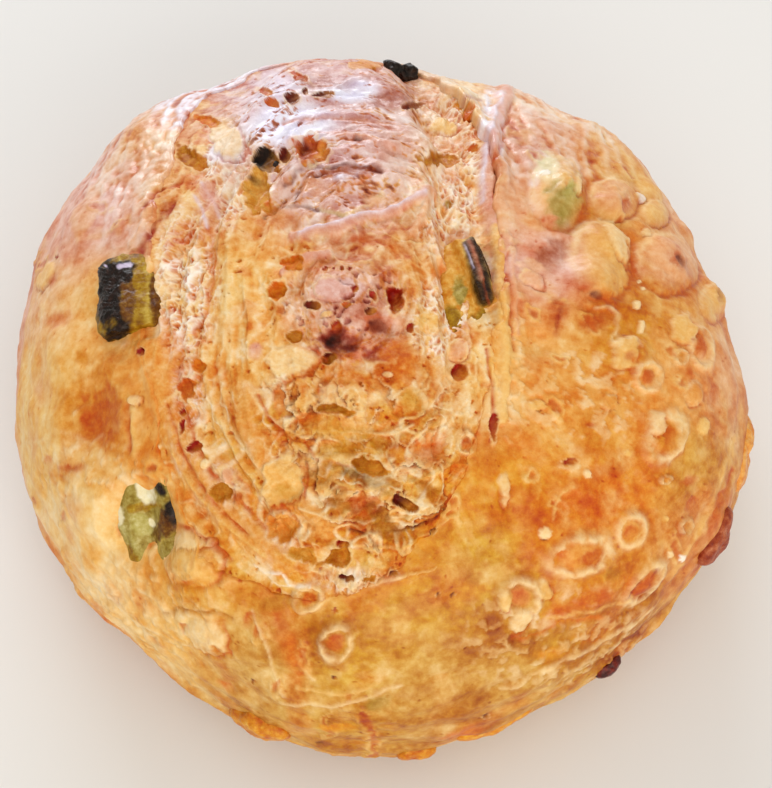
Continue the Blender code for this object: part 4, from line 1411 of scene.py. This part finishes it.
def build_crust_half(name):
    azimuths, rim_tilt, tilts = crust_grid(SEAMS[name])
    columns = len(azimuths)
    directions = towards(np.broadcast_to(azimuths, tilts.shape), tilts).reshape(-1, 3)
    base = smooth_loaf(directions)
    rim = torn_edge(base)
    coarse = crust_form(base, rim)
    surface = finished_surface(base, directions, coarse, rim, detail_crust)
    fade = smooth_step(base[:, 2], *FOOT_BLEND)
    grown = base + directions * ((coarse + surface.height) * fade)[:, None]
    grown[:, 2] = np.maximum(grown[:, 2], 0)

    inwards = unit(towards(azimuths, rim_tilt - 90.0))
    lip = lip_rows(grown[:columns], base[:columns], inwards, directions[:columns])
    points = np.concatenate([*lip, grown])
    rows = len(points) // columns
    margin = np.zeros((rows, columns))
    margin[:, [0, -1]] = SEAM_SINK
    points -= unit(points - (0, 0, WAIST)) * margin.reshape(-1, 1)
    points[:, 2] = np.maximum(points[:, 2], 0)
    made = make_mesh(name, points + (*SHIFT, 0), grid_faces(rows, columns).tolist())
    # The lip's inner side, coloured deeper as painted shade.
    lip_shade_colour = toned(surface.colour[:columns], np.full(columns, LIP_SHADE_TONE))
    colour = np.concatenate([np.tile(lip_shade_colour, (len(LIP_SECTION), 1)), surface.colour])
    shine = 0.35 + 0.5 * covered(surface.seen, GLOSSY_PATCHES)
    gloss = np.concatenate([np.tile(shine[:columns], len(LIP_SECTION)), shine])
    paint(made, colour, gloss)
    return made


CRUMB_CUTS = (318, 594)   # along X and along Y
CRUMB_MARGIN = 4.0        # how far the crumb runs under the crust
CRUMB_SINK = 7.0
CRUMB_SKIRT = 3.0
CRUMB_BOTTOM = 13.0


def crumb_plan():
    """Plan places of the crumb's points: a square grid drawn round into the opening's shape."""
    across, along = (np.linspace(-1, 1, cuts + 1) for cuts in CRUMB_CUTS)
    u, v = np.meshgrid(across, along)
    disc_x, disc_y = u * np.sqrt(1 - v ** 2 / 2), v * np.sqrt(1 - u ** 2 / 2)
    middle_x, middle_y, half_width, half_length, power = OPENING
    reach, turn = np.hypot(disc_x, disc_y), np.arctan2(disc_y, disc_x)
    bulge = (np.abs(np.cos(turn)) ** power + np.abs(np.sin(turn)) ** power) ** (-1 / power)
    x = middle_x + (half_width + CRUMB_MARGIN) * reach * bulge * np.cos(turn)
    y = middle_y + (half_length + CRUMB_MARGIN) * reach * bulge * np.sin(turn)
    return x.ravel(), y.ravel()


def closed_slab(name, rows, directions, colour, shine):
    """A closed object from a grid of points: a skirt hangs from its edge to a fan under it."""
    shape = rows.shape[:2]
    top, directions = rows.reshape(-1, 3), directions.reshape(-1, 3)
    grid = np.arange(len(top)).reshape(shape)
    faces = grid_faces(*shape)[:, ::-1].tolist()
    edge = np.concatenate([grid[0, :-1], grid[:-1, -1], grid[-1, :0:-1], grid[:0:-1, 0]])
    skirt = top[edge] - directions[edge] * CRUMB_SKIRT
    first, middle = len(top), len(top) + len(edge)
    bottom = [*skirt[:, :2].mean(axis=0), HEIGHT - WAIST / 2 - CRUMB_BOTTOM]
    for k, here in enumerate(edge.tolist()):
        following = (k + 1) % len(edge)
        faces.append((int(edge[following]), here, first + k, first + following))
        faces.append((first + following, first + k, middle))
    made = make_mesh(name, np.concatenate([top, skirt, [bottom]]) + (*SHIFT, 0), faces)
    colour = np.concatenate([colour, colour[edge], [linear("honey")]])
    paint(made, colour, np.concatenate([shine, np.zeros(len(edge) + 1)]))
    return made


def build_crumb():
    """The crumb, in a front and a rear half that overlap by one sunk row of points."""
    base = loaf_above(*crumb_plan())
    directions = unit(base - (0, 0, WAIST))
    rim = torn_edge(base)
    under = smooth_step(rim, -1.0, 6.0)
    coarse = crumb_form(base, rim) - CRUMB_SINK * under
    surface = finished_surface(base, directions, coarse, rim, detail_crumb)
    top = base + directions * (coarse + surface.height * (1 - under))[:, None]
    bright = smooth_step(surface.colour.mean(axis=1), 0.03, 0.2)
    seen = surface.seen
    shine = 0.1 + (0.75 * patch(seen, *SKIN) + 0.35 * patch(seen, *KNOB_SKIN)) * bright

    columns, rows = (cuts + 1 for cuts in CRUMB_CUTS)
    middle = rows // 2
    halves = []
    for name, part, margin in (
        ("crumb_front", slice(0, middle + 1), -1), ("crumb_rear", slice(middle - 1, rows), 0),
    ):
        points, outwards, colour, gloss = (
            values.reshape(rows, columns, -1)[part].copy()
            for values in (top, directions, surface.colour, shine)
        )
        points[margin] -= SEAM_SINK * outwards[margin]
        halves.append(closed_slab(name, points, outwards, colour.reshape(-1, 3), gloss.ravel()))
    return halves


# ---------------------------------------------------------------- the pieces in the crust

def superellipsoid(directions, half_size, power):
    """Points of a superellipsoid along unit directions."""
    level = sum((np.abs(d) / half) ** power for d, half in zip(directions.T, half_size))
    return directions * (level ** (-1 / power))[:, None]


def bumpy(points, directions, bumps):
    """The points moved out and in by noise."""
    height, size, seed = bumps
    return points + directions * height * fractal(points + seed, size, 2, seed)[:, None]


def chunk_shape(directions):
    points = superellipsoid(directions, CHUNK_SIZE, CHUNK_POWER)
    droop, straight_x = CHUNK_BEND
    points[:, 2] -= droop * (points[:, 0] - straight_x) ** 2
    points[:, 0] *= 1 + CHUNK_TAPER * points[:, 1]
    return bumpy(points, directions, CHUNK_BUMPS)


def slice_shape(directions):
    points = superellipsoid(directions, SLICE_SIZE, SLICE_POWER)
    along = points[:, 1] - RIM_MIDDLE[1]
    across = points[:, 0] - RIM_MIDDLE[0] + RIM_LEAN * along
    half_width, half_length, height = RIM_SIZE
    rim = smooth_step(half_width - np.abs(across), 0, RIM_EDGE)
    rim *= smooth_step(half_length - np.abs(along), 0, RIM_EDGE)
    points[:, 2] += height * rim * (directions[:, 2] > 0)
    return bumpy(points, directions, SLICE_BUMPS)


def green_shape(directions):
    points = superellipsoid(directions, GREEN_SIZE, GREEN_POWER)
    points[:, 0] *= 1 + GREEN_TAPER * points[:, 1]
    points[:, 1] += GREEN_LEAN * points[:, 0]
    crease = bell(points[:, 0], CREASE_LEAN * points[:, 1], CREASE_WIDTH)
    points[:, 2] -= CREASE_DEPTH * crease * (directions[:, 2] > 0)
    return bumpy(points, directions, GREEN_BUMPS)


def lump(half_size, power, bumps):
    """A plain lump's shape, as a function of unit directions."""
    return lambda directions: bumpy(superellipsoid(directions, half_size, power), directions, bumps)


def cheese_lump(half_length, half_height, half_depth, seed):
    bumps = (CHEESE_SWELL * half_height, CHEESE_BUMP_SIZE, seed)
    return lump((half_length, half_height, half_depth), CHEESE_POWER, bumps)


def local_frame(azimuth, tilt):
    """Unit vectors across, up the slope and out of the smooth loaf at a place."""
    step = 1.5      # degrees
    near = towards(np.array([azimuth, azimuth + step, azimuth]), np.array([tilt, tilt, tilt - step]))
    here, beside, uphill = smooth_loaf(near)
    out = unit(np.cross(beside - here, uphill - here))
    up = unit(uphill - here - out * np.dot(uphill - here, out))
    return np.cross(up, out), up, out


CHAR_SHAPE = lump(CHAR_SIZE, SCRAP_POWER, CHAR_BUMPS)
SEED_WALL_SHAPE = lump(SEED_WALL_SIZE, SCRAP_POWER, SEED_WALL_BUMPS)
# Name, shape, colour, fine bumps, azimuth, tilt, depth of its middle under the crust, roll, slot
PIECES = (
    ("pepper_chunk", chunk_shape, "olive", 0.5, -178, 49.0, 0.5, -84, "pepper"),
    ("pepper_slice", slice_shape, "honey", 0.25, -14, 21.5, 0.8, -70, "pepper"),
    ("pepper_green", green_shape, "moss", 0.3, -134, 65, 0.2, 52, "pepper"),
    ("pepper_char", CHAR_SHAPE, "char", 0.5, 85, 62.0, -2.2, 0, "char"),
    ("pepper_seed_wall", SEED_WALL_SHAPE, "char", 0.2, 126, 34.0, 0.4, 30, "char"),
    ("cheese_front_left", cheese_lump(9.5, 6.0, 4.5, 71), "amber", 0.4, -107, 92, 1.2, 8, "cheese"),
    ("cheese_front", cheese_lump(6.0, 3.6, 3.2, 72), "amber", 0.3, -84, 95, 0.8, -6, "cheese"),
    ("cheese_front_right", cheese_lump(12.5, 4.5, 3.4, 73), "gold", 0.3, -71.5, 94, 1.4, 0, "cheese"),
    ("cheese_right_low", cheese_lump(4.8, 3.4, 3.2, 74), "umber", 0.3, -52, 94, 0.8, 12, "cheese"),
    ("cheese_right_fold", cheese_lump(9.0, 5.0, 4.0, 75), "plum", 0.3, -29, 84, 1.6, 20, "cheese"),
    ("cheese_right", cheese_lump(13.0, 6.5, 4.5, 76), "tan", 0.4, -14, 84, 2.4, 6, "cheese"),
)
FINE_PIECES = ("pepper_chunk", "pepper_slice", "pepper_green")
FINE_CUTS, PLAIN_CUTS = 60, 26
PIECE_STREAKS = (3.0, 0.35)   # size in mm, and strength in the tone
BUMP_SEED, STREAK_SEED = 551, 552


def cube_sphere(cuts):
    """Unit directions and faces of a cube cut into a grid and blown up."""
    grid = bmesh.new()
    bmesh.ops.create_cube(grid, size=2)
    bmesh.ops.subdivide_edges(grid, edges=grid.edges, cuts=cuts, use_grid_fill=True)
    directions = unit(np.tan(np.array([v.co for v in grid.verts]) * math.pi / 4))
    faces = [tuple(v.index for v in face.verts) for face in grid.faces]
    grid.free()
    return directions, faces


def crust_frame(azimuth, tilt, sink, roll):
    """Matrix, in mm, at a depth under the crust: +Z out of it, +Y up the slope, then rolled."""
    across, up, out = local_frame(azimuth, tilt)
    top = crust_points(towards(azimuth, tilt)[None])[0]
    axes = Matrix(np.stack([across, up, out], axis=1).tolist()).to_4x4()
    placed = Matrix.Translation(Vector(top - out * sink)) @ axes
    return placed @ Matrix.Rotation(math.radians(roll), 4, "Z")


def build_piece(name, shape, colour, fine, azimuth, tilt, sink, roll):
    directions, faces = cube_sphere(FINE_CUTS if name in FINE_PIECES else PLAIN_CUTS)
    local = shape(directions)
    matrix = np.array(crust_frame(azimuth, tilt, sink, roll))
    outwards = directions @ matrix[:3, :3].T
    placed = local @ matrix[:3, :3].T + matrix[:3, 3] - (*SHIFT, 0)
    seen = Seen(*in_picture(placed), np.ones(len(placed)))
    size, strength = PIECE_STREAKS
    bumps = fractal(local, size, 3, BUMP_SEED)
    surface = Surface(placed, seen, np.tile(linear(colour), (len(placed), 1)))
    surface.shade(fine * (bumps - 0.5), strength * fractal(local, size, 3, STREAK_SEED))
    surface.settle_tone()
    lay_lines(surface, PIECE_LINES.get(name, ()))
    lay_marks(surface, PIECE_MARKS.get(name, ()))
    made = make_mesh(name + "_skin", placed + outwards * surface.height[:, None] + (*SHIFT, 0), faces)
    dark = 1 - smooth_step(surface.colour.mean(axis=1), 0.02, 0.12)
    paint(made, surface.colour, 0.4 + 0.35 * dark)
    return made


# ---------------------------------------------------------------- materials

def fill_in(tree, node_name, inputs):
    """Gives each of a node's inputs its value, or a link where that is a node's output."""
    node = tree.nodes[node_name]
    for name, value in inputs.items():
        if isinstance(value, bpy.types.NodeSocket):
            tree.links.new(value, node.inputs[name])
        else:
            node.inputs[name].default_value = value
    return node


def add_node(tree, kind, output, inputs, **settings):
    """The named output of a new node."""
    node = tree.nodes.new("ShaderNode" + kind)
    for name, value in settings.items():
        setattr(node, name, value)
    return fill_in(tree, node.name, inputs).outputs[output]


NOISE_SCALE, NOISE_DETAIL, NOISE_ROUGHNESS = 520.0, 5, 0.65
MOTTLED_RANGE = (0.3, 0.7)      # of the noise
ROUGHNESS_SPREAD = 0.2
COAT_ROUGHNESS = 0.2
SPECULAR = 0.2
SPECULAR_TINT = (1.0, 0.8, 0.62, 1)


def baked_material(name, rough, glossy, coat, bump_height, mottle):
    """Painted colour with fine mottling and bumps; roughness runs from rough to glossy."""
    material = bpy.data.materials.new(name)
    material.use_nodes = True
    tree = material.node_tree
    tint = add_node(tree, "Attribute", "Color", {}, attribute_name="tint")
    shine = add_node(tree, "Attribute", "Fac", {}, attribute_name="gloss")
    fine = add_node(tree, "TexNoise", "Fac", {
        "Vector": add_node(tree, "TexCoord", "Object", {}),
        "Scale": NOISE_SCALE, "Detail": NOISE_DETAIL, "Roughness": NOISE_ROUGHNESS,
    })
    low, high = MOTTLED_RANGE
    depth = add_node(tree, "MapRange", "Result", {
        "Value": fine, "From Min": low, "From Max": high, "To Min": 1 + mottle, "To Max": 1 - mottle,
    })
    dull = add_node(tree, "MapRange", "Result", {"Value": shine, "To Min": rough, "To Max": glossy})
    fill_in(tree, "Principled BSDF", {
        "Base Color": add_node(tree, "Gamma", "Color", {"Color": tint, "Gamma": depth}),
        "Roughness": add_node(tree, "Math", "Value", {
            0: fine, 1: ROUGHNESS_SPREAD, 2: dull,
        }, operation="MULTIPLY_ADD"),
        "Specular IOR Level": SPECULAR,
        "Specular Tint": SPECULAR_TINT,
        "Coat Weight": add_node(tree, "MapRange", "Result", {"Value": shine, "To Max": coat}),
        "Coat Roughness": COAT_ROUGHNESS,
        "Normal": add_node(tree, "Bump", "Normal", {
            "Strength": 1.0, "Distance": bump_height * MM, "Height": fine,
        }),
    })
    return material


# Roughness where rough and where glossy, coat, height of the bumps in mm, and mottling
BAKED_LOOKS = {
    "crust": (0.5, 0.18, 0.5, 0.35, 0.22),
    "crumb": (0.55, 0.25, 0.5, 0.55, 0.32),
    "pepper": (0.4, 0.1, 0.2, 0.5, 0.4),
    "cheese": (0.35, 0.15, 0.3, 0.5, 0.4),
}


def build_materials():
    return {name: baked_material(name + "_looks", *look) for name, look in BAKED_LOOKS.items()}


# ---------------------------------------------------------------- stage

FLOOR_HALF = 8.0      # m
FLOOR_COLOUR, FLOOR_ROUGHNESS = (0.75, 0.735, 0.705, 1), 0.6


def build_stage():
    mesh = bpy.data.meshes.new("floor")
    corners = [(x * FLOOR_HALF, y * FLOOR_HALF, 0) for x, y in ((-1, -1), (1, -1), (1, 1), (-1, 1))]
    mesh.from_pydata(corners, [], [(0, 1, 2, 3)])
    floor = add_object("floor", mesh)
    material = bpy.data.materials.new("floor_looks")
    material.use_nodes = True
    fill_in(material.node_tree, "Principled BSDF", {
        "Base Color": FLOOR_COLOUR, "Roughness": FLOOR_ROUGHNESS,
    })
    mesh.materials.append(material)


# Name, place in m, width, height, power in W, colour
LIGHTS = (
    ("window", (-0.45, 2.2, 0.8), 1.5, 0.9, 38, (0.86, 0.92, 1.0)),
    ("ceiling", (0.0, -0.3, 2.0), 2.4, 2.4, 11, (1.0, 0.97, 0.93)),
    ("fill", (0.5, -2.0, 1.1), 2.4, 1.6, 32, (1.0, 0.96, 0.9)),
)
LIGHTS_AIM = Vector((0, 0, 0.05))
ROOM_COLOUR, ROOM_STRENGTH = (1.0, 0.99, 0.97, 1), 0.55


def area_light(name, place_at, width, height, power, colour):
    data = bpy.data.lights.new(name, "AREA")
    data.shape = "RECTANGLE"
    data.size, data.size_y = width, height
    data.energy = power
    data.color = colour
    light = add_object(name, data)
    light.location = place_at
    light.rotation_euler = (LIGHTS_AIM - Vector(place_at)).to_track_quat("-Z", "Y").to_euler()


def build_lights():
    for light in LIGHTS:
        area_light(*light)
    world = bpy.data.worlds.new("room")
    world.use_nodes = True
    fill_in(world.node_tree, "Background", {"Color": ROOM_COLOUR, "Strength": ROOM_STRENGTH})
    bpy.context.scene.world = world
    bpy.context.scene.view_settings.view_transform = "Standard"


def build_camera():
    data = bpy.data.cameras.new("camera")
    data.lens = CAMERA_LENS
    data.sensor_width = CAMERA_SENSOR
    data.clip_start = CAMERA_CLIP
    camera = add_object("camera", data)
    camera.location = CAMERA_EYE
    camera.rotation_euler = Vector(-CAMERA_BACK).to_track_quat("-Z", "Y").to_euler()
    bpy.context.scene.camera = camera


# ---------------------------------------------------------------- everything together

def main():
    looks = build_materials()
    for made in (*map(build_crust_half, SEAMS), *build_crumb()):
        made.data.materials.append(looks["crumb" if made.name.startswith("crumb") else "crust"])
        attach(made, "root")
        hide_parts("loaf")
    for name, *making, slot in PIECES:
        piece = build_piece(name, *making)
        piece.data.materials.append(looks["cheese" if slot == "cheese" else "pepper"])
        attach(piece, "root")
        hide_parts(name)
    build_stage()
    build_lights()
    build_camera()


main()
